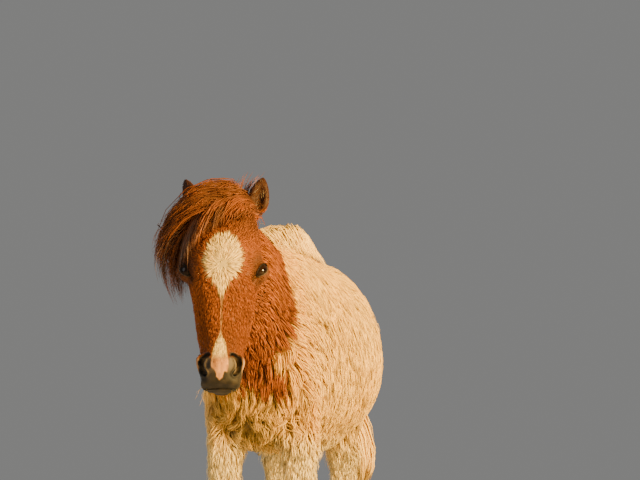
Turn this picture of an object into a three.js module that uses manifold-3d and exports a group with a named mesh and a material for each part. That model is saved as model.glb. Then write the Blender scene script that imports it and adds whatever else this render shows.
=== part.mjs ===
// A life-size Shetland pony yearling in its woolly winter coat, as a still museum model.
// It stands square on four hooves with its head let down to wither height and turned a little
// to its left. Millimetres, +Z up. The pony faces -Y, and its own left side is +X. Each solid
// reaches out to the tips of the coat, and the whole body is parted with thin cuts at the
// places where a person names its parts.

import * as THREE from "three";
import { mergeVertices } from "three/addons/utils/BufferGeometryUtils.js";
import Module from "manifold-3d";

const wasm = await Module();
wasm.setup();

// Driving dimensions of the pony, with its coat on.
const WITHERS = 828; // height of the withers
const CROUP = 846; // a young pony stands a little higher behind
const BELLY = 384; // lowest hair of the belly
const BARREL_WIDE = 200; // half width of the barrel at its roundest
const BREAST_Y = -392; // the front of the breast
const BUTTOCK_Y = 428; // the back of the thighs
const FORE_X = 77; // foreleg from the median plane
const FORE_Y = -232;
const HIND_X = { left: 66, right: 96 }; // the hind feet stand a little to the pony's right
const HIND_Y = 322;
const ELBOW = 462;
const KNEE = 238;
const HOCK = 318;
const FETLOCK = 112;
const HOOF_HIGH = 46;
const HOOF_WIDE = 37; // half width of the sole
const HOOF_LONG = 43; // half length of the sole
const HOOF_TAPER = 0.86; // the coronet as a share of the sole
const HOOF_SLOPE = 20; // how far the coronet lies behind the sole
const HEEL_DROP = 14; // how much lower the coronet is at the heel
const FEATHER = 22; // the hair of the heels ends this far above the floor
const PASTERN = 44; // how far the sole lies ahead of the fetlock
const POLL = new THREE.Vector3(-15, -470, 812); // where the head hangs from the neck
const HEAD_LONG = 357; // poll to upper lip
const HEAD_PITCH = THREE.MathUtils.degToRad(19.5); // the face leans this far from plumb
const HEAD_YAW = THREE.MathUtils.degToRad(12); // towards the pony's left
const EYE = { radius: 18.5, out: 62, down: 133, front: 28 };
const NOSTRIL = { out: 32, down: 311, front: 24 };
const EAR = {
  high: 92,
  back: 4,
  sunk: 6, // how far its root lies under the poll
  tilt: 0.22,
  left: { out: 53, splay: 0.1, turn: 0.1 },
  right: { out: 57, splay: 0.24, turn: -0.95 }, // the right ear listens outwards
};
const EAR_HOLLOW = { out: 2, back: -14, up: 46, radii: [12.5, 13, 38] };
const CUT = 0.35; // the thin cut that parts one piece from the next
const SIDES = { left: 1, right: -1 };

// The soft forms laid on the head or cut from it, as places out, back and up from the poll.
const BROW = { out: EYE.out - 6, back: -EYE.front - 1, up: 5 - EYE.down, radii: [22, 25, 27] };
const EYE_RIM = { out: EYE.out - 1, back: -9, up: 7 - EYE.down, radii: [22, 22, 26] };
const WING = {
  out: NOSTRIL.out - 1,
  back: 6 - NOSTRIL.front,
  up: 1 - NOSTRIL.down,
  turn: 0.35,
  radii: [13, 16, 21],
};
const HOLLOW = {
  out: NOSTRIL.out + 3,
  back: -NOSTRIL.front - 7,
  up: -NOSTRIL.down - 1,
  turn: 0.75,
  radii: [5, 10, 13],
};
const CHIN = { back: 40, up: 26 - HEAD_LONG, radii: [22, 15, 18] };
const MOUTH = { back: 24, up: 10 - HEAD_LONG, slant: -0.42, radii: [44, 34, 1.6] };

const COLOURS = {
  cream: 0xe9d3ac,
  chestnut: 0xa4521f,
  hair: 0x9a4a1e,
  paleHair: 0xead9b8,
  horn: 0x4a423b,
  eye: 0x140c08,
};

const material = (name, color, roughness, metalness = 0) =>
  new THREE.MeshStandardMaterial({ name, color, roughness, metalness });
const coat = (name) => material(name, COLOURS.cream, 0.9);
const redCoat = (name) => material(name, COLOURS.chestnut, 0.85);

// A closed three.js geometry as a solid, turned right side out.
function solid(geometry) {
  const bare = geometry.clone();
  bare.deleteAttribute("normal");
  bare.deleteAttribute("uv");
  const merged = mergeVertices(bare, 1e-3);
  const vertProperties = new Float32Array(merged.getAttribute("position").array);
  const triVerts = Uint32Array.from(merged.index.array);
  const made = new wasm.Manifold(new wasm.Mesh({ numProp: 3, vertProperties, triVerts }));
  if (made.volume() > 0) return made;
  triVerts.reverse();
  return new wasm.Manifold(new wasm.Mesh({ numProp: 3, vertProperties, triVerts }));
}

// The largest body of a solid, which drops the crumbs that a cut can leave.
const largest = (made) => made.decompose().sort((a, b) => b.volume() - a.volume())[0];

function geometryOf(made) {
  const { numProp, numVert, vertProperties, triVerts } = made.getMesh();
  const places = new Float32Array(numVert * 3);
  for (let i = 0; i < numVert; i += 1) {
    places.set(vertProperties.subarray(i * numProp, i * numProp + 3), i * 3);
  }
  return new THREE.BufferGeometry()
    .setAttribute("position", new THREE.BufferAttribute(places, 3))
    .setIndex(new THREE.BufferAttribute(triVerts, 1));
}

const pony = new THREE.Group();
function add(name, made, finish) {
  const piece = new THREE.Mesh(geometryOf(largest(made)), finish);
  piece.name = name;
  pony.add(piece);
}

const union = (parts) => parts.reduce((whole, part) => whole.add(part));
const place = (made, matrix) => made.transform(matrix.elements);
const signedPower = (value, power) => Math.sign(value) * Math.abs(value) ** power;
const ACROSS = new THREE.Vector3(1, 0, 0);

// A body of rounded cross-sections strung on a smooth line. Each station gives the middle of a
// section (at), its half width across the animal (wide), its reach to either side of the line
// (rise and drop), how square it is and how it narrows towards the drop (lean). From head to
// tail rise is up, and from the top of a leg down rise is to the rear. locks raises ridges of
// hair, and grow makes a cutter that leaves a thin gap.
function loft(stations, options = {}, grow = 0) {
  const { around = 24, along = 22, caps = [0.1, 0.1], locks, across = ACROSS } = options;
  const curve = (pick) =>
    new THREE.CatmullRomCurve3(
      stations.map((s) => new THREE.Vector3(...pick(s))),
      false,
      "catmullrom",
      0.5,
    );
  const middle = curve((s) => s.at);
  const size = curve((s) => [s.wide + grow, s.rise + grow, (s.drop ?? s.rise) + grow]);
  const form = curve((s) => [s.square ?? 2.2, s.lean ?? 0, 0]);
  const shape = new THREE.SphereGeometry(1, around, along);
  const vertex = shape.getAttribute("position");
  const point = new THREE.Vector3();
  for (let i = 0; i < vertex.count; i += 1) {
    point.fromBufferAttribute(vertex, i);
    const polar = Math.acos(THREE.MathUtils.clamp(point.y, -1, 1)) / Math.PI;
    const t = THREE.MathUtils.lerp(polar, (1 - Math.cos(Math.PI * polar)) / 2, 0.45);
    const angle = Math.atan2(point.z, point.x);
    const fromStart = Math.min(1, t / caps[0]);
    const fromEnd = Math.min(1, (1 - t) / caps[1]);
    const dome = Math.sqrt((1 - (1 - fromStart) ** 2) * (1 - (1 - fromEnd) ** 2));
    const ridge = locks ? 1 + locks.deep * Math.cos(locks.count * angle + locks.twist * t) : 1;
    const { x: wide, y: rise, z: drop } = size.getPoint(t);
    const { x: square, y: lean } = form.getPoint(t);
    const sideways = signedPower(Math.cos(angle), 2 / square);
    const upward = signedPower(Math.sin(angle), 2 / square);
    const tangent = middle.getTangent(t);
    const outward = new THREE.Vector3().crossVectors(across, tangent).normalize();
    const flank = new THREE.Vector3().crossVectors(tangent, outward).normalize();
    point
      .copy(middle.getPoint(t))
      .addScaledVector(flank, wide * sideways * (1 + lean * upward) * dome * ridge)
      .addScaledVector(outward, (upward > 0 ? rise : drop) * upward * dome * ridge);
    vertex.setXYZ(i, point.x, point.y, point.z);
  }
  return solid(shape);
}

// An ellipsoid with its radii along x, y and z before it is turned.
function ball(at, radii, turn = [0, 0, 0], segments = [12, 7]) {
  const shape = new THREE.SphereGeometry(1, ...segments);
  const matrix = new THREE.Matrix4().compose(
    new THREE.Vector3(...at),
    new THREE.Quaternion().setFromEuler(new THREE.Euler(...turn)),
    new THREE.Vector3(...radii),
  );
  return solid(shape.applyMatrix4(matrix));
}

// The two sides of a thin cut through a point, with the first on the side of the normal.
function part(made, [point, normal]) {
  const unit = new THREE.Vector3(...normal).normalize();
  const reach = unit.dot(new THREE.Vector3(...point));
  const ahead = made.trimByPlane(unit.toArray(), reach + CUT / 2);
  const behind = made.trimByPlane(unit.clone().negate().toArray(), CUT / 2 - reach);
  return { ahead, behind };
}

// Barrel, from the breast to the buttocks: the height of its top line, its widest level and its
// lowest hair at each distance along the body.
const barrelStation = ([y, top, level, bottom, wide, square = 2.25]) => ({
  at: [0, y, level],
  wide,
  rise: top - level,
  drop: level - bottom,
  square,
});
const BARREL = [
  [BREAST_Y, 640, 575, 500, 78],
  [-345, 742, 590, 430, 100],
  [-280, WITHERS - 22, 596, 392, 112],
  [-205, WITHERS, 592, BELLY + 1, 126],
  [-110, WITHERS - 5, 588, BELLY, 160],
  [-10, WITHERS - 8, 584, BELLY - 3, 186, 2.15],
  [90, CROUP - 14, 584, BELLY, BARREL_WIDE, 2.1],
  [185, CROUP - 3, 600, BELLY + 25, 192, 2.1],
  [275, CROUP, 618, BELLY + 70, 168, 2.15],
  [350, CROUP - 36, 630, BELLY + 112, 146],
  [BUTTOCK_Y - 22, 738, 634, 520, 116],
  [BUTTOCK_Y, 676, 630, 570, 80],
].map(barrelStation);
const makeBarrel = (grow) =>
  loft(BARREL, { around: 22, along: 18, caps: [0.1, 0.08] }, grow);

// A whole leg, from its great muscles inside the trunk down to the coronet above the hoof.
const limbStation = ([x, y, z, wide, rise, drop]) => ({ at: [x, y, z], wide, rise, drop });
const foreLimb = (side) =>
  [
    [side * 58, FORE_Y + 6, 730, 34, 60, 56],
    [side * 72, FORE_Y - 22, 650, 42, 92, 84],
    [side * 74, FORE_Y - 30, 560, 45, 104, 86],
    [side * 76, FORE_Y - 8, ELBOW + 18, 42, 82, 62],
    [side * (FORE_X + 1), FORE_Y + 2, ELBOW - 48, 39, 56, 50],
    [side * FORE_X, FORE_Y, 340, 37, 42, 43],
    [side * FORE_X, FORE_Y - 2, KNEE + 42, 34, 36, 38],
    [side * FORE_X, FORE_Y - 5, KNEE, 36, 35, 38],
    [side * FORE_X, FORE_Y - 1, KNEE - 46, 30, 33, 30],
    [side * FORE_X, FORE_Y + 1, FETLOCK + 45, 28, 33, 28],
    [side * FORE_X, FORE_Y + 1, FETLOCK, 33, 44, 32],
    [side * FORE_X, FORE_Y - 14, 76, 34, 48, 30],
    [side * FORE_X, FORE_Y - 22, 50, 38, 46, 36],
    [side * FORE_X, FORE_Y - 24, 30, 36, 36, 38],
  ].map(limbStation);
const hindLimb = (side, foot) =>
  [
    [side * 76, HIND_Y - 30, 760, 40, 60, 70],
    [side * 90, HIND_Y - 48, 680, 56, 132, 104],
    [side * 98, HIND_Y - 62, 580, 60, 140, 102],
    [side * 94, HIND_Y - 66, 505, 52, 112, 82],
    [side * (foot + 72) * 0.52, HIND_Y - 36, 432, 42, 74, 58],
    [side * (foot + 2), HIND_Y - 2, 368, 37, 48, 42],
    [side * foot, HIND_Y + 16, HOCK + 8, 35, 48, 38],
    [side * foot, HIND_Y + 14, HOCK - 38, 31, 40, 34],
    [side * foot, HIND_Y + 6, FETLOCK + 70, 28, 34, 29],
    [side * foot, HIND_Y + 1, FETLOCK + 4, 33, 45, 33],
    [side * foot, HIND_Y - 12, 76, 34, 47, 30],
    [side * foot, HIND_Y - 20, 50, 38, 45, 36],
    [side * foot, HIND_Y - 22, 30, 36, 35, 38],
  ].map(limbStation);
const makeLimb = (stations) => loft(stations, { around: 14, along: 18, caps: [0.07, 0.03] });

// The neck, from behind the ears to inside the withers.
const neckStation = ([y, z, wide, rise, drop, lean = 0]) => ({
  at: [Math.min(0, (POLL.x * (y + 260)) / (POLL.y + 260)), y, z],
  wide,
  rise,
  drop,
  lean,
});
const NECK = [
  [-505, 768, 50, 50, 60],
  [-478, 760, 58, 70, 88],
  [-440, 746, 68, 86, 112],
  [-395, 722, 78, 100, 134, -0.06],
  [-345, 694, 90, 122, 152, -0.08],
  [-285, 666, 104, 138, 160, -0.08],
  [-220, 640, 112, 150, 150],
  [-170, 625, 104, 130, 130],
].map(neckStation);
const makeNeck = (grow) => loft(NECK, { around: 20, along: 12, caps: [0.12, 0.14] }, grow);

// The head, modelled upright with its face to -Y and its poll at the origin. Each row is a
// section at a distance down the face, with its forehead side, widest level, jaw side and half
// width.
const headStation = ([down, front, level, back, wide, square = 2.35, lean = 0]) => ({
  at: [0, -level, -down],
  wide,
  rise: front - level,
  drop: level - back,
  square,
  lean,
});
const HEAD = [
  [HEAD_LONG, 8, -10, -28, 24, 2.3],
  [HEAD_LONG - 12, 27, -8, -42, 33, 2.4],
  [331, 36, -4, -49, 38, 2.4],
  [312, 42, -2, -48, 40, 2.3],
  [284, 43, -2, -46, 39, 2.3, -0.06],
  [246, 46, -3, -54, 47, 2.4, -0.12],
  [210, 54, -4, -68, 54, 2.45, -0.1],
  [172, 66, 0, -84, 61, 2.45, 0],
  [133, 77, 12, -95, 70, 2.5, 0.08],
  [86, 80, 12, -98, 70, 2.4, 0.08],
  [42, 74, 4, -86, 64, 2.3],
  [5, 60, -6, -68, 58, 2.2],
  [-18, 44, -10, -50, 46, 2.2],
].map(headStation);
const toNeck = new THREE.Matrix4().compose(
  POLL,
  new THREE.Quaternion().setFromEuler(new THREE.Euler(-HEAD_PITCH, 0, HEAD_YAW, "ZXY")),
  new THREE.Vector3(1, 1, 1),
);

const makeEye = (side, grow = 0) =>
  ball([side * EYE.out, -EYE.front, -EYE.down], Array(3).fill(EYE.radius + grow));

function makeHead(grow) {
  const skull = loft(HEAD, { around: 20, along: 22, caps: [0.07, 0.12] }, grow);
  const clay = [skull];
  const cuts = [];
  for (const side of Object.values(SIDES)) {
    clay.push(ball([side * BROW.out, BROW.back, BROW.up], BROW.radii));
    clay.push(ball([side * EYE_RIM.out, EYE_RIM.back, EYE_RIM.up], EYE_RIM.radii));
    clay.push(ball([side * WING.out, WING.back, WING.up], WING.radii, [0, 0, side * WING.turn]));
    cuts.push(makeEye(side, CUT));
    const hollowAt = [side * HOLLOW.out, HOLLOW.back, HOLLOW.up];
    cuts.push(ball(hollowAt, HOLLOW.radii, [0.1, 0, side * HOLLOW.turn], [10, 6]));
  }
  clay.push(ball([0, CHIN.back, CHIN.up], CHIN.radii));
  cuts.push(ball([0, MOUTH.back, MOUTH.up], MOUTH.radii, [MOUTH.slant, 0, 0], [12, 4]));
  const whole = union(clay);
  return place(grow ? whole : whole.subtract(union(cuts)), toNeck);
}

// An ear: a tall leaf, hollowed in front, on the top corner of the head.
function makeEar(name, grow = 0) {
  const side = SIDES[name];
  const { out: apart, splay, turn } = EAR[name];
  const stations = [
    [-8, 0, 4, 14, 12],
    [18, 0, 2, 19, 15],
    [44, 1, 0, 21, 13],
    [68, 3, -1, 16, 9],
    [EAR.high, 6, -2, 5, 4],
  ].map(([high, out, back, wide, thick]) => ({
    at: [side * out, back, high],
    wide,
    rise: thick,
  }));
  const leaf = loft(stations, { around: 12, along: 10, caps: [0.12, 0.18] }, grow);
  const hollowAt = [side * EAR_HOLLOW.out, EAR_HOLLOW.back, EAR_HOLLOW.up];
  const hollow = ball(hollowAt, EAR_HOLLOW.radii, [0.05, 0, 0], [10, 6]);
  const stance = new THREE.Matrix4().compose(
    new THREE.Vector3(side * apart, EAR.back, -EAR.sunk),
    new THREE.Quaternion().setFromEuler(new THREE.Euler(EAR.tilt, side * splay, turn)),
    new THREE.Vector3(1, 1, 1),
  );
  return place(place(grow ? leaf : leaf.subtract(hollow), stance), toNeck);
}

// A hoof: a slanted, tapering box of horn with a flat sole.
function makeHoof(x, y, grow = 0) {
  const shape = new THREE.CylinderGeometry(HOOF_TAPER, 1, HOOF_HIGH, 18, 1);
  shape.rotateX(Math.PI / 2);
  const vertex = shape.getAttribute("position");
  for (let i = 0; i < vertex.count; i += 1) {
    const high = vertex.getZ(i) / HOOF_HIGH + 0.5;
    const heel = Math.max(0, vertex.getY(i)) * high * HEEL_DROP;
    vertex.setXYZ(
      i,
      x + vertex.getX(i) * (HOOF_WIDE + grow),
      y + vertex.getY(i) * (HOOF_LONG + grow) + HOOF_SLOPE * high,
      high * (HOOF_HIGH + grow) - heel,
    );
  }
  return solid(shape);
}

// Long hair: the forelock swept to the right over the brow, the mane, and the tail, which swings
// to the left.
const lockStation = ([x, y, z, wide, rise, drop]) => ({ at: [x, y, z], wide, rise, drop });
const OVER_BROW = new THREE.Vector3(0, 0.8, 0.6);
const BESIDE_NECK = new THREE.Vector3(0.5, 0, 0.86);
const makeForelock = (grow) =>
  loft(
    [
      [24, -478, 838, 30, 18, 16],
      [-2, -494, 846, 46, 24, 24],
      [-42, -508, 838, 58, 28, 26],
      [-84, -512, 806, 60, 28, 26],
      [-112, -502, 756, 58, 27, 28],
      [-119, -488, 708, 52, 24, 30],
      [-110, -474, 664, 40, 20, 26],
      [-97, -464, 622, 20, 12, 15],
    ].map(lockStation),
    {
      around: 12,
      along: 12,
      caps: [0.12, 0.1],
      across: OVER_BROW,
      locks: { count: 5, deep: 0.05, twist: 5 },
    },
    grow,
  );
const makeMane = () => {
  const crest = loft(
    [
      [-22, -458, 838, 34, 26, 40],
      [-20, -400, 832, 38, 30, 50],
      [-12, -345, 826, 42, 32, 60],
      [6, -290, 826, 50, 34, 70],
      [28, -238, 832, 52, 34, 74],
      [38, -190, 832, 50, 30, 56],
      [46, -138, 830, 44, 24, 44],
      [48, -94, 824, 26, 13, 30],
    ].map(lockStation),
    { around: 10, along: 11, caps: [0.1, 0.14], locks: { count: 4, deep: 0.04, twist: 18 } },
  );
  const fall = loft(
    [
      [-44, -458, 806, 56, 28, 30],
      [-58, -415, 790, 82, 30, 34],
      [-62, -365, 778, 94, 30, 38],
      [-60, -310, 774, 94, 32, 38],
      [-48, -255, 786, 78, 32, 36],
      [-34, -212, 802, 48, 26, 26],
    ].map(lockStation),
    {
      around: 12,
      along: 10,
      caps: [0.1, 0.12],
      across: BESIDE_NECK,
      locks: { count: 5, deep: 0.04, twist: 24 },
    },
  );
  return crest.add(fall);
};
const makeTail = () =>
  loft(
    [
      [0, 392, 742, 22, 20, 20],
      [0, 424, 722, 30, 26, 28],
      [2, 446, 660, 44, 28, 30],
      [20, 452, 565, 54, 30, 32],
      [58, 450, 480, 54, 30, 30],
      [90, 448, 408, 46, 27, 27],
      [98, 446, 344, 30, 19, 19],
      [90, 444, 296, 9, 7, 7],
    ].map(lockStation),
    { around: 12, along: 13, caps: [0.1, 0.06], locks: { count: 5, deep: 0.06, twist: 3 } },
  );

// The places where the body is parted.
const THROAT = [[0, -432, 700], [0, -0.985, -0.17]];
const SHOULDER = [[0, -300, 650], [0, -0.875, 0.484]];
const armpit = (side) => [[side * 76, FORE_Y, 430], [side * 0.5, 0, -0.86]];
const stifle = (side) => [[side * 86, HIND_Y, 440], [side * 0.3, 0.12, -0.94]];

const barrelCutter = makeBarrel(CUT);
const body = [makeBarrel(), makeNeck(), makeHead()];
const HOOVES = [];
for (const [name, side] of Object.entries(SIDES)) {
  const limbs = [
    ["fore", makeLimb(foreLimb(side)), armpit(side), FORE_X, FORE_Y],
    ["hind", makeLimb(hindLimb(side, HIND_X[name])), stifle(side), HIND_X[name], HIND_Y],
  ];
  for (const [end, limb, cut, x, y] of limbs) {
    const halves = part(limb, cut);
    const hoofPlace = [side * x, y - PASTERN];
    body.push(halves.behind);
    const leg = halves.ahead.subtract(barrelCutter).subtract(makeHoof(...hoofPlace, CUT));
    add(`leg_${end}_${name}`, leg.trimByPlane([0, 0, 1], FEATHER), coat(`leg_${end}_${name}_coat`));
    HOOVES.push([`hoof_${end}_${name}`, makeHoof(...hoofPlace)]);
  }
}
for (const [name, hoof] of HOOVES) {
  add(name, hoof, material(`${name}_horn`, COLOURS.horn, 0.6));
}
const { ahead: front, behind: trunk } = part(union(body), SHOULDER);
add("trunk", trunk, coat("trunk_coat"));
const { ahead: head, behind: neck } = part(front, THROAT);
add("neck", neck, redCoat("neck_coat"));
add("head", head, redCoat("head_coat"));
const flesh = union([makeHead(CUT), makeNeck(CUT), barrelCutter]);
for (const [name, side] of Object.entries(SIDES)) {
  add(`ear_${name}`, makeEar(name).subtract(flesh), redCoat(`ear_${name}_coat`));
  const eyeball = place(makeEye(side), toNeck);
  add(`eye_${name}`, eyeball, material(`eye_${name}_surface`, COLOURS.eye, 0.12));
}
const underHair = union([flesh, ...Object.keys(SIDES).map((name) => makeEar(name, CUT))]);
const mane = makeMane().subtract(underHair).subtract(makeForelock(CUT));
add("forelock", makeForelock().subtract(underHair), material("forelock_hair", COLOURS.hair, 0.7));
add("mane", mane, material("mane_hair", COLOURS.paleHair, 0.75));
add("tail", makeTail().subtract(barrelCutter), material("tail_hair", COLOURS.paleHair, 0.75));

// The middle of the pony's footprint is the origin, with the floor at zero.
const box = new THREE.Box3().setFromObject(pony);
pony.position.set(-(box.min.x + box.max.x) / 2, -(box.min.y + box.max.y) / 2, -box.min.z);
pony.updateMatrixWorld(true);

export default pony;
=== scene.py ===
# %% [markdown]
# # A Shetland pony in its winter coat
# The pony is one skin with a deep coat over it, two eyes, four hooves and masses of long hair.
# The solids of the frame reach out to the tips of the coat. So the skin is made from copies of
# those solids, joined into one surface and drawn inwards by the depth of the coat, and the
# coat then grows back out to where the solids were.

# %% The frame and the tools
import math
import bmesh
import bpy
import numpy as np
from mathutils import Matrix, Vector
from mathutils.bvhtree import BVHTree
from mathutils.kdtree import KDTree


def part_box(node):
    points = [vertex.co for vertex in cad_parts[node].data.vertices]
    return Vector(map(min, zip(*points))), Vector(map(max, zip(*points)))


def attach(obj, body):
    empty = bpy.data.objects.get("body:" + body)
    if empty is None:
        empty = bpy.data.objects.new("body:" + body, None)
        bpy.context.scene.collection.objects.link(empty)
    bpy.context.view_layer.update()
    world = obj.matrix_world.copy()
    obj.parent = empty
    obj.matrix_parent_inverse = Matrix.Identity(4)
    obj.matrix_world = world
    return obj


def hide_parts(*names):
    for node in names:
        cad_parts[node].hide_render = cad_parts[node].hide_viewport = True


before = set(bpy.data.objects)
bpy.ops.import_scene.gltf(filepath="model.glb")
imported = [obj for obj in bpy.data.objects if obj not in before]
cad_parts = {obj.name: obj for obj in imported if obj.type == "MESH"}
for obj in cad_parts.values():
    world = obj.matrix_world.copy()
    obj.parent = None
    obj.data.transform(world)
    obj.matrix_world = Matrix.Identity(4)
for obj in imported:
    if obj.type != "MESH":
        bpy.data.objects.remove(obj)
bpy.context.view_layer.update()
rng = np.random.default_rng(7)

# %% [markdown]
# ## Where things are
# The head is turned and tilted, so it gets its own axes: out to the pony's left, forward from
# the forehead and down from the poll. They are worked out from the two eyes of the frame. Places
# along the body are given from a point near its middle, which the poll fixes in the same way.

# %% Landmarks of the head
HEAD_PITCH = math.radians(19.5)
EYE_OUT, EYE_FRONT, EYE_DOWN = 0.062, 0.028, 0.133
POLL_Y = -0.470


def middle_of(node):
    low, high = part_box(node)
    return (low + high) / 2


eye_line = middle_of("eye_left") - middle_of("eye_right")
yaw = math.atan2(eye_line.y, eye_line.x)
head_turn = Matrix.Rotation(yaw, 4, "Z") @ Matrix.Rotation(-HEAD_PITCH, 4, "X")
eyes_middle = (middle_of("eye_left") + middle_of("eye_right")) / 2
poll = eyes_middle - head_turn @ Vector((0, -EYE_FRONT, -EYE_DOWN))
HEAD = Matrix.Translation(poll) @ head_turn
TO_HEAD = np.array(HEAD.inverted())
TURN = np.array(head_turn.to_3x3())
SHIFT = poll.y - POLL_Y
print("head turned", round(math.degrees(yaw), 1), "degrees, poll at", np.round(poll, 3).tolist())

# %% [markdown]
# Three helpers move between the axes of the head and those of the frame, and a fourth says how
# far along the body a point is. Everything later that names a place on the pony goes through them.

# %% To and from the axes of the head
def in_head(points):
    """How far out to the left, forward of the poll and down the face each point lies."""
    local = points @ TO_HEAD[:3, :3].T + TO_HEAD[:3, 3]
    return local[:, 0], -local[:, 1], -local[:, 2]


def on_head(out, front, down):
    """The place in the frame of one point of the head."""
    return HEAD @ Vector((out, -front, -down))


def from_head(out, front, down):
    """The same for arrays of any shape."""
    return np.stack([out, -front, -down], -1) @ TURN.T + np.array(poll)


def behind(points):
    """How far each point lies behind the point near the middle of the body."""
    return points[:, 1] - SHIFT


print("chin at", np.round(on_head(0, 0, 0.35), 3).tolist())

# %% [markdown]
# ## Smooth steps and soft noise
# Markings, coat depth and the lie of the hair all change gently from one part of the body to
# the next. A smooth step blends two values, and a soft noise makes the edges less even. The
# noise gives each corner of a grid a number by a hash, and blends between the corners.

# %% Helpers for gentle change
HASH_PRIMES = np.array([73856093, 19349663, 83492791])
HASH_TIMES, HASH_PLUS, HASH_TOP = 1103515245, 12345, 0x7FFFFFFF
SEED_STEP = 17.3


def step(low, high, value):
    t = np.clip((value - low) / (high - low), 0, 1)
    return t * t * (3 - 2 * t)


def mix(a, b, share):
    share = np.asarray(share)
    if np.ndim(a) > 1 or np.ndim(b) > 1 or (np.ndim(a) == 1 and len(a) == 3 and share.ndim == 1):
        share = share[:, None]
    return a * (1 - share) + b * share


def noise(points, size, seed=0):
    """Soft noise from -1 to 1 that changes over about the given size."""
    p = points / size + seed * SEED_STEP
    cell = np.floor(p).astype(np.int64)
    t = p - cell
    t = t * t * (3 - 2 * t)
    total = np.zeros(len(points))
    for corner in range(8):
        offset = np.array([corner & 1, corner >> 1 & 1, corner >> 2 & 1])
        key = (cell + offset) @ HASH_PRIMES & HASH_TOP
        value = (key * HASH_TIMES + HASH_PLUS & HASH_TOP) / (HASH_TOP // 2) - 1
        total += value * np.prod(np.where(offset, t, 1 - t), axis=1)
    return total


def unit(vectors):
    return vectors / np.maximum(np.linalg.norm(vectors, axis=1, keepdims=True), 1e-9)


print("a smooth step:", step(0, 1, np.linspace(0, 1, 5)).round(2).tolist())

# %% [markdown]
# ## One skin
# The real animal has one skin from lip to coronet. Its points are worked on as arrays, which is
# much faster than one by one, so first come the helpers that read and write them.

# %% Points, normals and edges as arrays
def read(items, what, width, kind):
    flat = np.empty(len(items) * width, kind)
    items.foreach_get(what, flat)
    return flat.reshape(-1, width)


def points_of(obj):
    return read(obj.data.vertices, "co", 3, np.float32).astype(np.float64)


def normals_of(obj):
    return read(obj.data.vertices, "normal", 3, np.float32).astype(np.float64)


def edges_of(obj):
    return read(obj.data.edges, "vertices", 2, np.int32)


def set_points(obj, points):
    obj.data.vertices.foreach_set("co", points.astype(np.float32).ravel())
    obj.data.update()


def apply_modifiers(obj):
    bpy.context.view_layer.update()
    graph = bpy.context.evaluated_depsgraph_get()
    made = bpy.data.meshes.new_from_object(obj.evaluated_get(graph))
    obj.modifiers.clear()
    obj.data = made


print("trunk of the frame:", len(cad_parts["trunk"].data.vertices), "points")

# %% [markdown]
# Copies of the flesh solids are joined and rebuilt as one closed surface by a voxel remesh, which
# also fills the thin cuts between them. The eyes go in too, so that no hole is left behind them.

# %% Join and remesh the flesh
LEGS = [f"leg_{end}_{side}" for end in ("fore", "hind") for side in ("left", "right")]
FLESH = ["trunk", "neck", "head", "ear_left", "ear_right", *LEGS]
EYES = ["eye_left", "eye_right"]
SAME_POINT = 1e-5
VOXEL = 0.0031

flesh = bmesh.new()
for name in FLESH + EYES:
    flesh.from_mesh(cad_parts[name].data)
bmesh.ops.remove_doubles(flesh, verts=flesh.verts, dist=SAME_POINT)
skin_mesh = bpy.data.meshes.new("skin")
flesh.to_mesh(skin_mesh)
flesh.free()
skin = bpy.data.objects.new("skin", skin_mesh)
bpy.context.scene.collection.objects.link(skin)
remesh = skin.modifiers.new("one surface", "REMESH")
remesh.mode = "VOXEL"
remesh.voxel_size = VOXEL
apply_modifiers(skin)
print("remeshed:", len(skin.data.vertices), "points")

# %% [markdown]
# ## Regions of the body
# Head, ears, muzzle, breast and legs differ in how smooth they are, how deep their coat is and
# what colour it has. Each region is a share from 0 to 1 for any point, so regions blend.

# %% Regions of the body
THROAT_POINT = np.array([0, -0.432 + SHIFT, 0.700])
THROAT_AHEAD = np.array([0, -0.985, -0.171])
BREAST_RIGHT, BREAST_LEFT = (-0.105, -0.070), (0.128, 0.088)
LEG_TOP, LEG_FREE = 0.44, 0.36


def head_share(points):
    """1 on the head, 0 behind the throat, and a blend between."""
    return step(-0.012, 0.03, (points - THROAT_POINT) @ THROAT_AHEAD)


def ear_share(points):
    out, front, down = in_head(points)
    return step(0.006, 0.020, -down) * step(0.022, 0.030, abs(out)) * step(-0.06, -0.045, front)


def muzzle_share(points):
    down = in_head(points)[2]
    return step(0.255, 0.295, down) * head_share(points)


def curl_share(points):
    """1 across the middle of the breast, where the hair is long and curly, 0 at its sides."""
    return step(*BREAST_RIGHT, points[:, 0]) * step(*BREAST_LEFT, points[:, 0])


def leg_share(points):
    """1 down the free legs and 0 on the trunk."""
    apart = step(0.02, 0.035, abs(points[:, 0]))
    return step(LEG_TOP, LEG_FREE, points[:, 2]) * (1 - head_share(points)) * apart


points = points_of(skin)
for region in (head_share, ear_share, muzzle_share, leg_share):
    print(region.__name__, round(float(region(points).mean()), 3), "of the points")

# %% [markdown]
# ## Smoothing the surface
# The solids are faceted, and the animal isn't. Each point is moved towards the middle of its
# neighbours many times, as a smoothing brush would do. The share differs by region, because
# the big round body needs much more of it than the brow, the nostrils or the rims of the ears.
# Smoothing thins the ears, so they are given back what they lost.

# %% Smooth by region
SMOOTHING = {"body": 1.0, "head": 0.32, "muzzle": 0.10, "ear": 0.05}
SMOOTH_ROUNDS = 56
EAR_LOSS = 0.0022


def smooth(points, edges, share, rounds):
    """Moves each point towards the middle of its neighbours, by its own share."""
    count = len(points)
    degree = np.bincount(edges.ravel(), minlength=count)[:, None]
    for _ in range(rounds):
        total = np.empty_like(points)
        for axis in range(points.shape[1]):
            ends = points[:, axis]
            total[:, axis] = np.bincount(edges[:, 0], ends[edges[:, 1]], count)
            total[:, axis] += np.bincount(edges[:, 1], ends[edges[:, 0]], count)
        points = points + share[:, None] * 0.5 * (total / np.maximum(degree, 1) - points)
    return points


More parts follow.
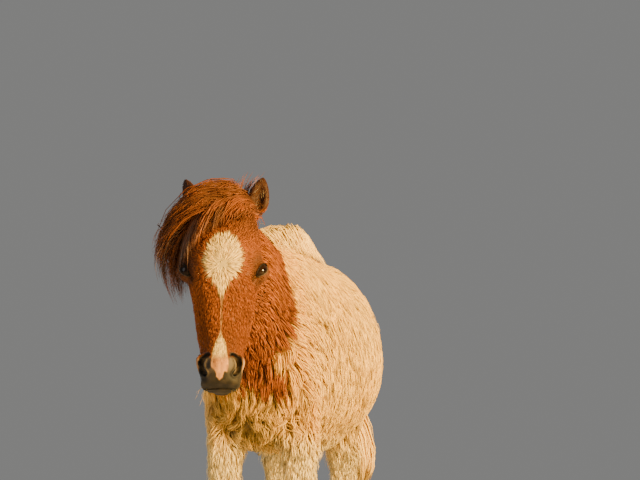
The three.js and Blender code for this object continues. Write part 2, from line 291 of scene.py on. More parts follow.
head, ear = head_share(points), ear_share(points)
fine = np.maximum(ear, muzzle_share(points) * 0.75)
coarse_share = mix(SMOOTHING["body"], SMOOTHING["head"], head)
share = mix(coarse_share, mix(SMOOTHING["muzzle"], SMOOTHING["ear"], ear), fine)
points = smooth(points, edges_of(skin), share, SMOOTH_ROUNDS)
set_points(skin, points)
above_poll = step(0.012, 0.030, -in_head(points)[2])[:, None]
points += normals_of(skin) * EAR_LOSS * above_poll * ear_share(points)[:, None]
set_points(skin, points)
print("smoothed", len(points), "points; on the head", int((head > 0.5).sum()))

# %% [markdown]
# ## The depth of the coat
# A winter coat stands deepest on the chest, belly and haunches, less on the legs, and lies
# almost flat on the face, muzzle and ears. The skin goes inwards by that depth, so that the
# tips of the hair end where the solids ended.

# %% Draw the skin in
COAT = {"body": 0.014, "chest": 0.019, "leg": 0.0048, "heel": 0.007, "cheek": 0.0065, "face": 0.0032,
        "muzzle": 0.0012, "ear": 0.0014}
BREAST_FROM, BREAST_TO = -0.15, -0.26
DEPTH_ROUNDS, SKIN_ROUNDS = 6, 10


def coat_depth(points):
    """How far the coat stands over the skin at each point, in metres."""
    front, down = in_head(points)[1:]
    height = points[:, 2]
    depth = np.full(len(points), COAT["body"])
    breast = step(BREAST_FROM, BREAST_TO, behind(points))
    belly = step(0.46, 0.40, height) * (1 - breast)
    curls = breast * step(0.70, 0.60, height) * curl_share(points)
    depth = mix(depth, COAT["chest"], np.maximum(curls, belly))
    upper_leg = breast * step(0.52, 0.42, height) * (1 - curl_share(points))
    depth = mix(depth, COAT["leg"], np.maximum(upper_leg, leg_share(points)))
    depth = mix(depth, COAT["heel"], step(0.075, 0.045, height))
    cheek = step(0.03, -0.03, front) * step(0.27, 0.20, down)
    on_face = mix(COAT["face"], COAT["cheek"], cheek)
    on_face = mix(on_face, COAT["muzzle"], step(0.24, 0.30, down))
    depth = mix(depth, on_face, head_share(points))
    return mix(depth, COAT["ear"], ear_share(points))


depth = smooth(coat_depth(points)[:, None], edges_of(skin), np.ones(len(points)), DEPTH_ROUNDS)
points = points - normals_of(skin) * depth
points = smooth(points, edges_of(skin), mix(0.8, 0.15, np.maximum(head, fine)), SKIN_ROUNDS)
set_points(skin, points)
print("coat depth", round(float(depth.min()) * 1000, 1), "to", round(float(depth.max()) * 1000, 1), "mm")

# %% [markdown]
# ## Faces where they are needed
# The remesh made the body as fine as the face. The body's skin is hidden under hair, so its
# faces are merged there by a Decimate modifier, which a vertex group keeps off the head.

# %% Thin out the body
points = points_of(skin)
KEPT_FACES = 0.30
WEIGHT_LEVELS = 10
group = skin.vertex_groups.new(name="may merge")
weights = np.rint(WEIGHT_LEVELS * (1 - np.maximum(head_share(points), ear_share(points))))
for level in range(1, WEIGHT_LEVELS + 1):
    group.add(np.nonzero(weights == level)[0].tolist(), level / WEIGHT_LEVELS, "REPLACE")
thin = skin.modifiers.new("fewer faces", "DECIMATE")
thin.ratio = KEPT_FACES
thin.vertex_group = "may merge"
apply_modifiers(skin)
skin.vertex_groups.clear()
print("skin thinned to", len(skin.data.polygons), "faces")

# %% [markdown]
# Around the eyes, nostrils and mouth the faces are cut smaller instead, because lids and nostrils
# have edges of a millimetre or two. Every edge near such a place is halved, once or twice.

# %% Refine the face
NOSTRIL = (0.0355, 0.028, 0.316)
MOUTH = (0, 0.02, 0.345)
fine_spots = []
for side in (1, -1):
    fine_spots.append((on_head(side * EYE_OUT, EYE_FRONT, EYE_DOWN), 0.033, 2))
    fine_spots.append((on_head(side * NOSTRIL[0], *NOSTRIL[1:]), 0.024, 1))
fine_spots.append((on_head(*MOUTH), 0.040, 1))
for spot, reach, cuts in fine_spots:
    for _ in range(cuts):
        bm = bmesh.new()
        bm.from_mesh(skin.data)
        near = [e for e in bm.edges if ((e.verts[0].co + e.verts[1].co) / 2 - spot).length < reach]
        bmesh.ops.subdivide_edges(bm, edges=near, cuts=1, use_grid_fill=True)
        bmesh.ops.triangulate(bm, faces=[f for f in bm.faces if len(f.verts) > 4])
        bm.to_mesh(skin.data)
        bm.free()
print("skin now has", len(skin.data.polygons), "faces")

# %% [markdown]
# ## Lids
# A pony's eye looks sideways and a little forward, and its almond opening slants down towards
# the nose. The almond is drawn in angles seen from the middle of the ball, which has its own
# axes, so that both eyes are described once.

# %% The almond of the eye
BALL = 0.0183
GAZE = (0.64, 0.77, -0.22)
SLANT = math.radians(57)
HALF_LONG, UPPER, LOWER = math.radians(68), math.radians(26), math.radians(17)
ALMOND_SCALE = 0.009


def eye_axes(side):
    """The eye's middle, and its axes towards the outer corner, across the lids and along the gaze."""
    middle = np.array(middle_of("eye_left" if side > 0 else "eye_right"))
    gaze = TURN @ np.array([side * GAZE[0], -GAZE[1], GAZE[2]])
    gaze /= np.linalg.norm(gaze)
    up = TURN @ np.array([0, 0, 1.0])
    level = side * np.cross(up, gaze)
    level /= np.linalg.norm(level)
    up = side * np.cross(gaze, level)
    along = math.cos(SLANT) * level + math.sin(SLANT) * up
    across = -math.sin(SLANT) * level + math.cos(SLANT) * up
    return middle, along, across, gaze


def in_eye(points, side):
    """Distance from the eye's middle, how far outside the almond in metres, the angles along and
    across the lids, and the way from the middle."""
    middle, along, across, gaze = eye_axes(side)
    away = points - middle
    radius = np.maximum(np.linalg.norm(away, axis=1), 1e-6)
    a = np.arctan2(away @ along, away @ gaze)
    b = np.arctan2(away @ across, away @ gaze)
    outside = np.maximum(b / UPPER, -b / LOWER) + (a / HALF_LONG) ** 2 - 1
    return radius, outside * ALMOND_SCALE, a, b, away


print("left eye at", eye_axes(1)[0].round(3).tolist())

# %% [markdown]
# The lids are skin stretched over the ball. Outside the almond the skin is laid on the ball with
# the thickness of a lid, with a thicker rim and a fold above it. Inside the almond it dips behind
# the ball. Farther out it goes back to where it was, but never below the ball.

# %% Shape the lids
LID = 0.0015
RIM_HIGH, RIM_AT, RIM_WIDE = 0.0006, 0.0016, 0.0010
FOLD_DEEP, FOLD_AT, FOLD_WIDE = 0.0016, 0.0062, 0.0012
DIP = 0.0030
LID_REACH = 0.045

points = points_of(skin)
for side in (1, -1):
    radius, outside, _, b, away = in_eye(points, side)
    close = (radius < LID_REACH) & (away @ eye_axes(side)[3] > -0.006)
    lid = BALL + LID + RIM_HIGH * np.exp(-((outside - RIM_AT) / RIM_WIDE) ** 2)
    lid -= FOLD_DEEP * np.exp(-((outside - FOLD_AT) / FOLD_WIDE) ** 2) * step(-0.2, 0.3, b)
    lid = mix(BALL - DIP, lid, step(-0.0012, 0.0004, outside))
    laid = mix(lid, np.maximum(radius, BALL + LID), step(0.0035, 0.0130, outside))
    moved = mix(laid, np.maximum(radius, BALL + LID * 0.6), step(0.014, 0.026, outside))
    points[close] += (away / radius[:, None] * (moved - radius)[:, None])[close]
    print("lid points moved:", int(close.sum()))
set_points(skin, points)

# %% [markdown]
# ## The lips
# The solid of the muzzle is a little too long and too narrow below for this skin. The lips are
# drawn up to a rounded end and made a little wider.

# %% Round off the lips
LIP_END, LIP_LEFT = 0.347, 0.0075
LIP_WIDER = 0.13

points = points_of(skin)
out, front, down = in_head(points)
lip = step(0.330, 0.350, down) * head_share(points)
down = np.where(down > LIP_END, LIP_END + LIP_LEFT * np.tanh((down - LIP_END) / LIP_LEFT), down)
out = out * (1 + LIP_WIDER * lip * step(0.045, 0.030, abs(out)))
points = mix(points, from_head(out, front, down), lip)
set_points(skin, points)
print("lips:", int((lip > 0.5).sum()), "points")

# %% [markdown]
# ## Nostrils and mouth
# Each nostril is a comma that opens forwards and outwards, with a soft wing behind it. The
# mouth is one long soft line. Both are drawn as curves laid on the skin and pressed in, as a
# modeller presses a tool into clay, and the rims beside them are raised a little.

# %% A curve, and a tool that presses it in
PRESS_STEPS, PRESS_REACH = 40, 0.07


def spline(rows, t):
    """Smooth curve through the rows, at the places t from 0 to 1."""
    rows = np.asarray(rows, float)
    place = np.clip(t, 0, 1) * (len(rows) - 1)
    i = np.minimum(place.astype(int), len(rows) - 2)
    u = (place - i)[..., None]
    p1, p2 = rows[i], rows[i + 1]
    p0 = np.where((i > 0)[..., None], rows[np.maximum(i - 1, 0)], 2 * p1 - p2)
    p3 = np.where((i < len(rows) - 2)[..., None], rows[np.minimum(i + 2, len(rows) - 1)], 2 * p2 - p1)
    return 0.5 * (2 * p1 + (p2 - p0) * u + (2 * p0 - 5 * p1 + 4 * p2 - p3) * u**2
                  + (3 * p1 - p0 - 3 * p2 + p3) * u**3)


def surface_tree(obj):
    bm = bmesh.new()
    bm.from_mesh(obj.data)
    tree = BVHTree.FromBMesh(bm)
    bm.free()
    return tree


def laid_on(tree, rows):
    """Points out, front and down of the poll, moved to the nearest place on the skin."""
    return np.array([tree.find_nearest(on_head(*row))[0] for row in rows])


def press(points, line, width, depth, way, rim):
    """Presses a groove along a line, as deep and wide as each place on it says."""
    t = np.linspace(0, 1, PRESS_STEPS)
    fine_line = spline(line, t)
    wide, deep = (spline(np.asarray(size)[:, None], t)[:, 0] for size in (width, depth))
    near = np.nonzero(np.linalg.norm(points - fine_line.mean(0), axis=1) < PRESS_REACH)[0]
    gap = np.linalg.norm(points[near, None, :] - fine_line[None], axis=2)
    nearest = gap.argmin(1)
    far = gap[np.arange(len(near)), nearest] / wide[nearest]
    push = deep[nearest] * np.exp(-(far**2) * 1.6) - rim * np.exp(-((far - 1.9) ** 2) * 3)
    points[near] += push[:, None] * way
    return points


tree = surface_tree(skin)
print("nose at", laid_on(tree, [(0, 0.05, 0.30)]).round(3).tolist())

# %% [markdown]
# The rows of each curve give places out, forward and down of the poll. One nostril is described
# and mirrored, and its line is kept, because the hair and the dark colour stop at it later.

# %% Press in the nostrils and the mouth
NOSTRIL_ROWS = [(0.022, 0.038, 0.303), (0.029, 0.034, 0.305), (0.0345, 0.027, 0.314),
                (0.0335, 0.024, 0.325), (0.026, 0.028, 0.335)]
NOSTRIL_WIDE = [0.0024, 0.0038, 0.0058, 0.0058, 0.0030]
NOSTRIL_DEEP = [0.004, 0.009, 0.015, 0.014, 0.005]
MOUTH_ROWS = [(-0.040, -0.036, 0.338), (-0.036, -0.012, 0.348), (-0.018, 0.001, 0.3545),
              (0.0, 0.004, 0.3555), (0.018, 0.001, 0.3545), (0.036, -0.012, 0.348), (0.040, -0.036, 0.338)]
MOUTH_WIDE = [0.0018] * len(MOUTH_ROWS)
MOUTH_DEEP = [0.002, 0.004, 0.005, 0.005, 0.005, 0.004, 0.002]
NOSTRIL_LINES = {}

points = points_of(skin)
for side in (1, -1):
    line = laid_on(tree, [(side * out, front, down) for out, front, down in NOSTRIL_ROWS])
    NOSTRIL_LINES[side] = spline(line, np.linspace(0, 1, 16))
    opens = TURN @ np.array([-side * 0.62, 0.78, 0.05])
    points = press(points, line, NOSTRIL_WIDE, NOSTRIL_DEEP, opens, 0.0018)
inwards = TURN @ np.array([0, 0.75, 0.65])
points = press(points, laid_on(tree, MOUTH_ROWS), MOUTH_WIDE, MOUTH_DEEP, inwards, 0.0010)
set_points(skin, points)
print("nostrils and mouth pressed in")

# %% [markdown]
# ## One unwrap for skin and coat
# The skin is cut into flat patches by a smart projection of its own shape. Each hair tuft later
# takes a tiny patch at the place of its root, so skin and coat share one map.

# %% Unwrap the skin
bpy.context.view_layer.objects.active = skin
skin.select_set(True)
skin.data.uv_layers.new(name="OFBake")
bpy.ops.object.mode_set(mode="EDIT")
bpy.ops.mesh.select_all(action="SELECT")
bpy.ops.uv.smart_project(angle_limit=math.radians(66), island_margin=0.002)
bpy.ops.object.mode_set(mode="OBJECT")
skin.select_set(False)
for poly in skin.data.polygons:
    poly.use_smooth = True
print("unwrapped", len(skin.data.polygons), "faces")

# %% [markdown]
# ## Markings
# The pony is skewbald: a chestnut head, throat and front of the neck on a cream body. The face
# has a star round the whorl of the forehead, a thin stripe and a snip that widens to bare pink
# skin between the nostrils. The colours are worked out for any point of the body, so that skin
# and hair get the same markings and a tuft keeps the colour of its root to its tip.

# %% Colours, and the star, stripe and snip
CREAM, SAND = np.array([0.92, 0.60, 0.15]), np.array([0.74, 0.45, 0.10])
GOLD = np.array([0.90, 0.50, 0.075])
PALE, ORANGE = np.array([0.95, 0.74, 0.33]), np.array([0.80, 0.38, 0.05])
OLIVE_SHADE, BROWN = np.array([0.17, 0.11, 0.035]), np.array([0.13, 0.044, 0.014])
CHESTNUT, DARK_RED = np.array([0.29, 0.072, 0.010]), np.array([0.13, 0.034, 0.007])
BRIGHT_RED = np.array([0.47, 0.145, 0.020])
WHITE, PINK = np.array([0.94, 0.70, 0.26]), np.array([0.60, 0.25, 0.085])
SLATE, TAN = np.array([0.017, 0.013, 0.007]), np.array([0.21, 0.145, 0.088])

STAR_DOWN = [0.079, 0.090, 0.104, 0.120, 0.134, 0.150, 0.162, 0.171, 0.181, 0.192, 0.202, 0.216, 0.255,
             0.267, 0.272, 0.282, 0.293, 0.302, 0.312, 0.323, 0.331, 0.339, 0.346, 0.350]
STAR_HALF = [0.010, 0.021, 0.028, 0.0335, 0.035, 0.030, 0.0235, 0.0165, 0.009, 0.005, 0.0022, 0.0016,
             0.0012, 0.0030, 0.0046, 0.0094, 0.0115, 0.0126, 0.0160, 0.0150, 0.0100, 0.007, 0.0035, 0.0]
RAGGED_DOWN, RAGGED = [0.17, 0.20, 0.28, 0.30, 0.33], [0.0028, 0, 0.0010, 0.0024, 0.0045]
STAR_EDGE = 0.0012


def star_share(out, front, down):
    """White of the star, stripe and snip, 0 to 1."""
    rough = noise(np.stack([out, front, down * 0.7], 1), 0.005, 8)
    half = np.interp(down, STAR_DOWN, STAR_HALF) + rough * np.interp(down, RAGGED_DOWN, RAGGED)
    on_face = (front > 0.0) & (down > STAR_DOWN[0]) & (down < STAR_DOWN[-1])
    return step(STAR_EDGE, -STAR_EDGE, abs(out) - half) * on_face


print("star", round(2000 * max(STAR_HALF)), "mm wide")

# %% [markdown]
# Chestnut meets cream along a ragged line round the neck and above the breast. Below it lie the
# curls of the breast. The line is given by its place along the body at some heights.

# %% Where chestnut ends and where the curls are
EDGE_HEIGHT = [0.47, 0.50, 0.535, 0.583, 0.61, 0.64, 0.68, 0.72, 0.76, 0.85]
EDGE_BEHIND = [-0.312, -0.328, -0.345, -0.356, -0.350, -0.346, -0.354, -0.350, -0.330, -0.310]
LOWEST_CHESTNUT = 0.485
EDGE_SOFT = 0.009


def ahead_of_edge(points):
    """How far forward of the edge between chestnut and cream each point is, in metres."""
    rough = noise(points, 0.045, 3) * 0.012 + noise(points, 0.016, 4) * 0.005
    edge = np.interp(points[:, 2], EDGE_HEIGHT, EDGE_BEHIND)
    return np.minimum(edge - behind(points), points[:, 2] - LOWEST_CHESTNUT) + rough


def chestnut_share(points):
    """1 where the hair is chestnut, 0 where it is cream."""
    return np.maximum(step(-EDGE_SOFT, EDGE_SOFT, ahead_of_edge(points)), head_share(points))


def fluff_share(points):
    """1 on the curly front of the chest."""
    low_front = step(0.52, 0.46, points[:, 2]) * step(-0.19, -0.25, behind(points))
    return low_front * (1 - head_share(points)) * curl_share(points)


points = points_of(skin)
print("chestnut:", round(float(chestnut_share(points).mean()), 2), "of the points")

# %% [markdown]
# Hair is missing on the lips, round the nostrils and on the ball of the eye, and the hollow of
# the ear is dark. These helpers say where that is, for the colours and later for the roots.

# %% Bare skin, nostrils, eyes and ears
BARE_OUT = [0.0, 0.016, 0.024, 0.034, 0.042, 0.050]
BARE_DOWN = [0.312, 0.310, 0.301, 0.301, 0.308, 0.322]
BARE_BEHIND = 0.334


def bare_share(out, front, down):
    """1 on the hairless dark skin of the lips and nostrils."""
    top = mix(np.interp(abs(out), BARE_OUT, BARE_DOWN), BARE_BEHIND, step(0.004, -0.030, front))
    return step(-0.003, 0.003, down - top)


def nostril_gap(points, side):
    """Distance from the line of one nostril."""
    return np.linalg.norm(points[:, None] - NOSTRIL_LINES[side][None], axis=2).min(1)


def eye_gap(points):
    """Distance from the middle of the nearer eye."""
    return np.minimum(*[np.linalg.norm(points - eye_axes(side)[0], axis=1) for side in (1, -1)])


def in_ear_hollow(points, normals):
    """1 on the inner side of the ears, which opens forwards and outwards."""
    side = np.sign(in_head(points)[0])[:, None]
    opens = side * TURN[:, 0] * 0.35 - TURN[:, 1]
    return step(0.05, 0.45, (normals * unit(opens)).sum(1)) * ear_share(points)


print("bare:", round(float((bare_share(*in_head(points)) * head_share(points)).mean()), 3), "of the points")

# %% [markdown]
# Neither coat is one flat colour. Cream runs from gold to sand, is paler on the legs and orange
# near the chestnut. It is also paler low on the breast at the pony's right, which is painted light,
# and deep in the curls of the breast, most between the forelegs, it turns olive, which is painted
# shade. Chestnut runs from dark to bright red. It is brown round the eyes, partly darker hair and
# partly painted shade, and brown at the front of the poll, which is painted shade under the
# forelock. A random number from 0 to 1 for each tuft makes neighbours differ, and two noises make
# patches.

# %% Cream and chestnut hair
def cream_colour(points, rand):
    leg = leg_share(points)
    broad, small = noise(points, 0.11, 1), noise(points, 0.030, 2)
    cream = mix(CREAM, SAND, np.clip(0.10 + 0.20 * small + 0.25 * (rand - 0.5), 0, 1))
    cream = mix(cream, GOLD, np.clip(0.25 + 0.35 * broad + 0.4 * (rand - 0.6), 0, 0.8))
    low_breast = step(0.62, 0.50, points[:, 2]) * step(-0.19, -0.25, behind(points))
    # Painted light: paler cream low on the breast at the pony's right.
    painted_light_side = low_breast * step(-0.07, -0.11, points[:, 0])
    cream = mix(cream, PALE, np.maximum(leg, painted_light_side) * 0.85)
    near_chestnut = step(-0.16, -0.01, ahead_of_edge(points))
    cream = mix(cream, ORANGE, near_chestnut * (0.15 + 0.6 * rand) * (1 - leg))
    # Painted shade: olive deep in the curls of the breast, most of it between the forelegs.
    curls = fluff_share(points) * (1 - leg)
    shade_between_legs = np.exp(-((points[:, 0] + 0.005) / 0.085) ** 2)
    deep = curls * (0.05 + 0.45 * shade_between_legs + 0.5 * small + 0.5 * (rand - 0.5))
    return mix(cream, OLIVE_SHADE, np.clip(deep, 0, 0.8))


def red_colour(points, rand, normals):
    out, front, down = in_head(points)
    head = head_share(points)
    broad, small = noise(points, 0.11, 1), noise(points, 0.030, 2)
    calm = 1 - 0.45 * head * step(-0.01, 0.02, front)
    red = mix(CHESTNUT, DARK_RED, np.clip(0.20 + 0.35 * small + 0.7 * calm * (0.5 - rand), 0, 1))
    red = mix(red, BRIGHT_RED, np.clip(0.18 + 0.3 * broad + 0.8 * calm * (rand - 0.6), 0, 0.9))
    # Brown round the eyes: partly darker hair, partly painted shade under the brow.
    red = mix(red, BROWN, step(0.044, 0.024, eye_gap(points)) * 0.85)
    nose = step(0.225, 0.31, down) * head * step(0.05, 0.035, abs(out))
    red = mix(red, DARK_RED * 1.1, nose * 0.5)
    # Painted shade: brown at the front of the poll, under the forelock.
    shade_under_forelock = step(0.10, 0.04, down) * head * step(0.0, 0.03, front)
    red = mix(red, BROWN, shade_under_forelock * 0.6)
    return mix(red, BROWN * 0.42, in_ear_hollow(points, normals) * 0.95)


def white_colour(down, rand):
    """White of the star and snip. In the thin stripe the pink skin shows through."""
    white = mix(mix(WHITE, CREAM, rand * 0.6), SAND, step(0.78, 0.9, rand) * 0.5)
    stripe = step(0.185, 0.205, down) * step(0.275, 0.255, down)
    return mix(white, PINK * 0.62, stripe * 0.85)


rump_cream = cream_colour(np.array([[0, 0.3 + SHIFT, 0.8]]), np.array([0.5]))
print("cream at the rump:", rump_cream.round(2).tolist())

# %% [markdown]
# The bare skin of the muzzle is slate grey with tan mottling, with lighter outer rims that are
# painted light, pink in the snip, and painted shade almost black inside the nostrils. Lids have
# dark edges, the lower one lighter with painted light, with pink in the inner corner.

# %% Bare skin, and the colour at any point
FLESH_PINK = mix(PINK, WHITE, 0.12)
LIT_RIM_TAN = mix(TAN * 1.6, PINK, 0.4)


def muzzle_skin(points):
    out, front, down = in_head(points)
    spots = noise(points, 0.009, 5)
    fold = step(0.338, 0.322, down) * step(0.034, 0.026, abs(out))
    mottled = mix(SLATE, TAN, np.clip(0.04 + 0.12 * spots + (0.45 + 0.5 * spots) * fold, 0, 1))
    # Painted light: a lighter tan band along the outer rims of the muzzle.
    rim = step(0.036, 0.040, abs(out)) * step(0.343, 0.333, down) * (front > -0.004)
    return mix(mottled, LIT_RIM_TAN, rim * 0.85)


def edge_openings(colour, points):
    """Paints shade into the nostrils and darkens the lid edges, the lower rim lighter with painted light.
    """
    for side in (1, -1):
        # Painted shade: almost black inside each nostril.
        colour = mix(colour, SLATE * 0.06, step(0.0066, 0.0046, nostril_gap(points, side)))
        radius, outside, a, b = in_eye(points, side)[:4]
        colour = mix(colour, DARK_RED * 0.5, step(0.0095, 0.0030, outside) * (radius < 0.032) * 0.85)
        on_lid = radius < 0.030
        # The upper lid's rim is dark slate; the lower rim is lighter, which is painted light.
        rim = mix(SLATE * 0.35, TAN * 0.38, step(0.0, -0.15, b))
        colour = mix(colour, rim, step(0.0028, 0.0014, outside) * on_lid)
        corner = step(-0.95, -1.10, a) * step(0.002, 0.0, outside)
        colour = mix(colour, PINK * 0.55, corner * on_lid)
    return colour


def coat_colour(points, rand, normals):
    """Colour of hair rooted at the points. rand, from 0 to 1, makes neighbours differ."""
    out, front, down = in_head(points)
    head = head_share(points)
    red = np.maximum(chestnut_share(points), ear_share(points))
    colour = mix(cream_colour(points, rand), GOLD * 0.95, step(0.0, 0.5, red))
    colour = mix(colour, red_colour(points, rand, normals), step(0.3, 0.8, red))
    white = star_share(out, front, down) * head
    colour = mix(colour, white_colour(down, rand), white)
    colour = mix(colour, muzzle_skin(points), bare_share(out, front, down) * head)
    spots, blotch = noise(points, 0.009, 5), noise(points, 0.0045, 6)
    flesh = mix(FLESH_PINK, PINK * 0.5, np.clip(0.4 + 0.5 * blotch + 0.4 * spots, 0, 1))
    colour = mix(colour, flesh, white * step(0.296, 0.318, down + 0.006 * spots))
    return edge_openings(colour, points)


print("pink of the snip:", FLESH_PINK.round(2).tolist())

# %% [markdown]
# ## The lie of the coat
# Hair on the face streams out of the whorl on the forehead: up to the forelock, out over the
# cheeks and down the nose, and parts round the eyes. On the body it runs backwards and down, and
# on the legs down. A tuft must lie along the skin, so what points out of it is taken off.

# %% Which way the hair lies
WHORL = (0.0, 0.055, 0.139)
LEG_WAY = np.array([0, 0.08, -1.0])


def body_way(points, normals):
    y, z = behind(points), points[:, 2]
    back = 0.30 + 0.5 * step(0.62, 0.80, z) * step(-0.25, -0.10, y)
    back += 0.5 * step(0.45, 0.39, z) * step(-0.25, -0.1, y)
    back = mix(back, 1.1, step(-0.18, -0.28, y) * step(0.46, 0.54, z))
    back = mix(back, 0.0, step(-0.55, -0.85, normals[:, 1]) * step(0.76, 0.70, z))
    way = np.stack([0 * y, back, np.full(len(y), -0.9)], 1)
    return mix(way, LEG_WAY, leg_share(points))


def face_way(out, front, down):
    local = np.stack([out - WHORL[0], front - WHORL[1], down - WHORL[2]], 1)
    way = unit(local) + np.array([0, 0, 0.35]) * step(0.0, 0.06, local[:, 2])[:, None]
    way[:, 1] -= 0.5 * step(0.05, -0.02, front)
    for side in (1, -1):
        away = np.stack([out, front, down], 1) - np.array([side * EYE_OUT, EYE_FRONT, EYE_DOWN])
        gap = np.linalg.norm(away, axis=1)
        toward = np.minimum((way * away).sum(1) / gap, 0)
        way -= (away / gap[:, None]) * (toward * step(0.055, 0.03, gap))[:, None]
    return way


def turned(rows):
    """Directions of the head, out, forward and down, in the frame."""
    return np.stack([rows[:, 0], -rows[:, 1], -rows[:, 2]], 1) @ TURN.T


def swirls(points, size, seed):
    return np.stack([noise(points, size, seed + axis) for axis in range(3)], 1)


def lie(points, normals):
    """The direction of the hair along the skin."""
    out, front, down = in_head(points)
    head, ear, leg = head_share(points), ear_share(points), leg_share(points)
    flow = mix(body_way(points, normals), turned(face_way(out, front, down)), head)
    flow = mix(flow, turned(np.stack([out * 3, 0 * out, -np.ones(len(out))], 1)), ear)
    flow += swirls(points, 0.028, 14) * (1.1 * fluff_share(points) * (1 - leg))[:, None]
    flow = unit(flow) + swirls(points, 0.07, 11) * mix(0.24, 0.08, np.maximum(head, ear))[:, None]
    flow -= normals * (flow * normals).sum(1)[:, None]
    return unit(flow)


print("mean lie of the hair:", lie(points, normals_of(skin)).mean(0).round(2).tolist())

# %% [markdown]
# ## Paint on the skin
# The skin shows between the tufts, where real hair is in its own shade, so it takes the colours
# of the coat a little darker. Bare skin keeps its full colour. The colours are stored for each
# point as an attribute that the materials read.

# %% Paint the skin
UNDER_COAT, UNDER_LEG = 0.62, 0.92


def set_tint(mesh, colours):
    """Stores one colour for each point of a mesh."""
    tint = np.ones((len(mesh.vertices), 4), np.float32)
    tint[:, :3] = colours
    mesh.color_attributes.new("tint", "FLOAT_COLOR", "POINT").data.foreach_set("color", tint.ravel())


colours = coat_colour(points, rng.random(len(points)) * 0.3 + 0.3, normals_of(skin))
bare = np.maximum(bare_share(*in_head(points)) * head_share(points), step(0.026, 0.021, eye_gap(points)))
shaded = mix(mix(UNDER_COAT, UNDER_LEG, leg_share(points)), 1.0, bare)
set_tint(skin.data, colours * shaded[:, None])
print("painted", len(points), "skin points")

# %% [markdown]
# ## Materials
# Hair is rough with a soft shine, and each lock shows its strands as fine stripes that run
# along it. Bare skin at the lips and nostrils is dull and finely grained. One function makes all
# of these: it breaks up the painted tint with a fine noise and raises a little relief from it.
# The noise follows each lock by an attribute of its own, and the skin by Object coordinates.

# %% Hair and skin materials
def paint(name, roughness, specular, scale, shades, relief, along_lock=False):
    """A material that reads the painted tint. shades are its darkest and lightest share of it."""
    made = bpy.data.materials.new(name)
    made.use_nodes = True
    nodes, links = made.node_tree.nodes, made.node_tree.links
    shader = nodes["Principled BSDF"]
    shader.inputs["Roughness"].default_value = roughness
    shader.inputs["Specular IOR Level"].default_value = specular
    tint = nodes.new("ShaderNodeAttribute")
    tint.attribute_name = "tint"
    if along_lock:
        where = nodes.new("ShaderNodeAttribute")
        where.attribute_name = "grain"
        place = where.outputs["Vector"]
    else:
        place = nodes.new("ShaderNodeTexCoord").outputs["Object"]
    grain = nodes.new("ShaderNodeTexNoise")
    grain.inputs["Scale"].default_value = scale
    grain.inputs["Detail"].default_value = 2
    links.new(place, grain.inputs["Vector"])
    spread = nodes.new("ShaderNodeMapRange")
    for socket, value in zip(("From Min", "From Max", "To Min", "To Max"), (0.3, 0.7, *shades)):
        spread.inputs[socket].default_value = value
    links.new(grain.outputs["Fac"], spread.inputs["Value"])
    times = nodes.new("ShaderNodeVectorMath")
    times.operation = "SCALE"
    links.new(tint.outputs["Color"], times.inputs[0])
    links.new(spread.outputs["Result"], times.inputs["Scale"])
    links.new(times.outputs["Vector"], shader.inputs["Base Color"])
    bump = nodes.new("ShaderNodeBump")
    bump.inputs["Strength"].default_value, bump.inputs["Distance"].default_value = relief
    links.new(grain.outputs["Fac"], bump.inputs["Height"])
    links.new(bump.outputs["Normal"], shader.inputs["Normal"])
    return made


hair_paint = paint("hair", 0.65, 0.2, 1500, (0.80, 1.14), (0.3, 0.0004), along_lock=True)
skin_paint = paint("skin", 0.62, 0.25, 900, (0.85, 1.1), (0.4, 0.0005))
skin.data.materials.clear()
skin.data.materials.append(skin_paint)
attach(skin, "root")
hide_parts(*FLESH)
print("materials:", hair_paint.name, "and", skin_paint.name)

# %% [markdown]
# ## Hair as thin solid locks
# Hair of a coat like this hangs together in locks of many strands. Each lock is a thin
# three-sided body that tapers to a tip, and thousands of them are joined in each piece. The
# locks are worked out as arrays, because each is a few faces and only its line differs.

# %% Locks from centre lines
SIDES = 3
PATCH = 0.003
GRAIN_LENGTHWISE = 0.04
GRAIN_ASIDE, GRAIN_ALONG = 0.0137, 0.0071


def lock_faces(rings):
    """Corners of the side quads and of the end triangles of one lock, its tip the last point."""
    last, tip = (rings - 1) * SIDES, rings * SIDES
    around = [(c, (c + 1) % SIDES) for c in range(SIDES)]
    quads = [[r + c, r + d, r + SIDES + d, r + SIDES + c]
             for r in range(0, last, SIDES) for c, d in around]
    return quads, [[last + c, last + d, tip] for c, d in around] + [[2, 1, 0]]


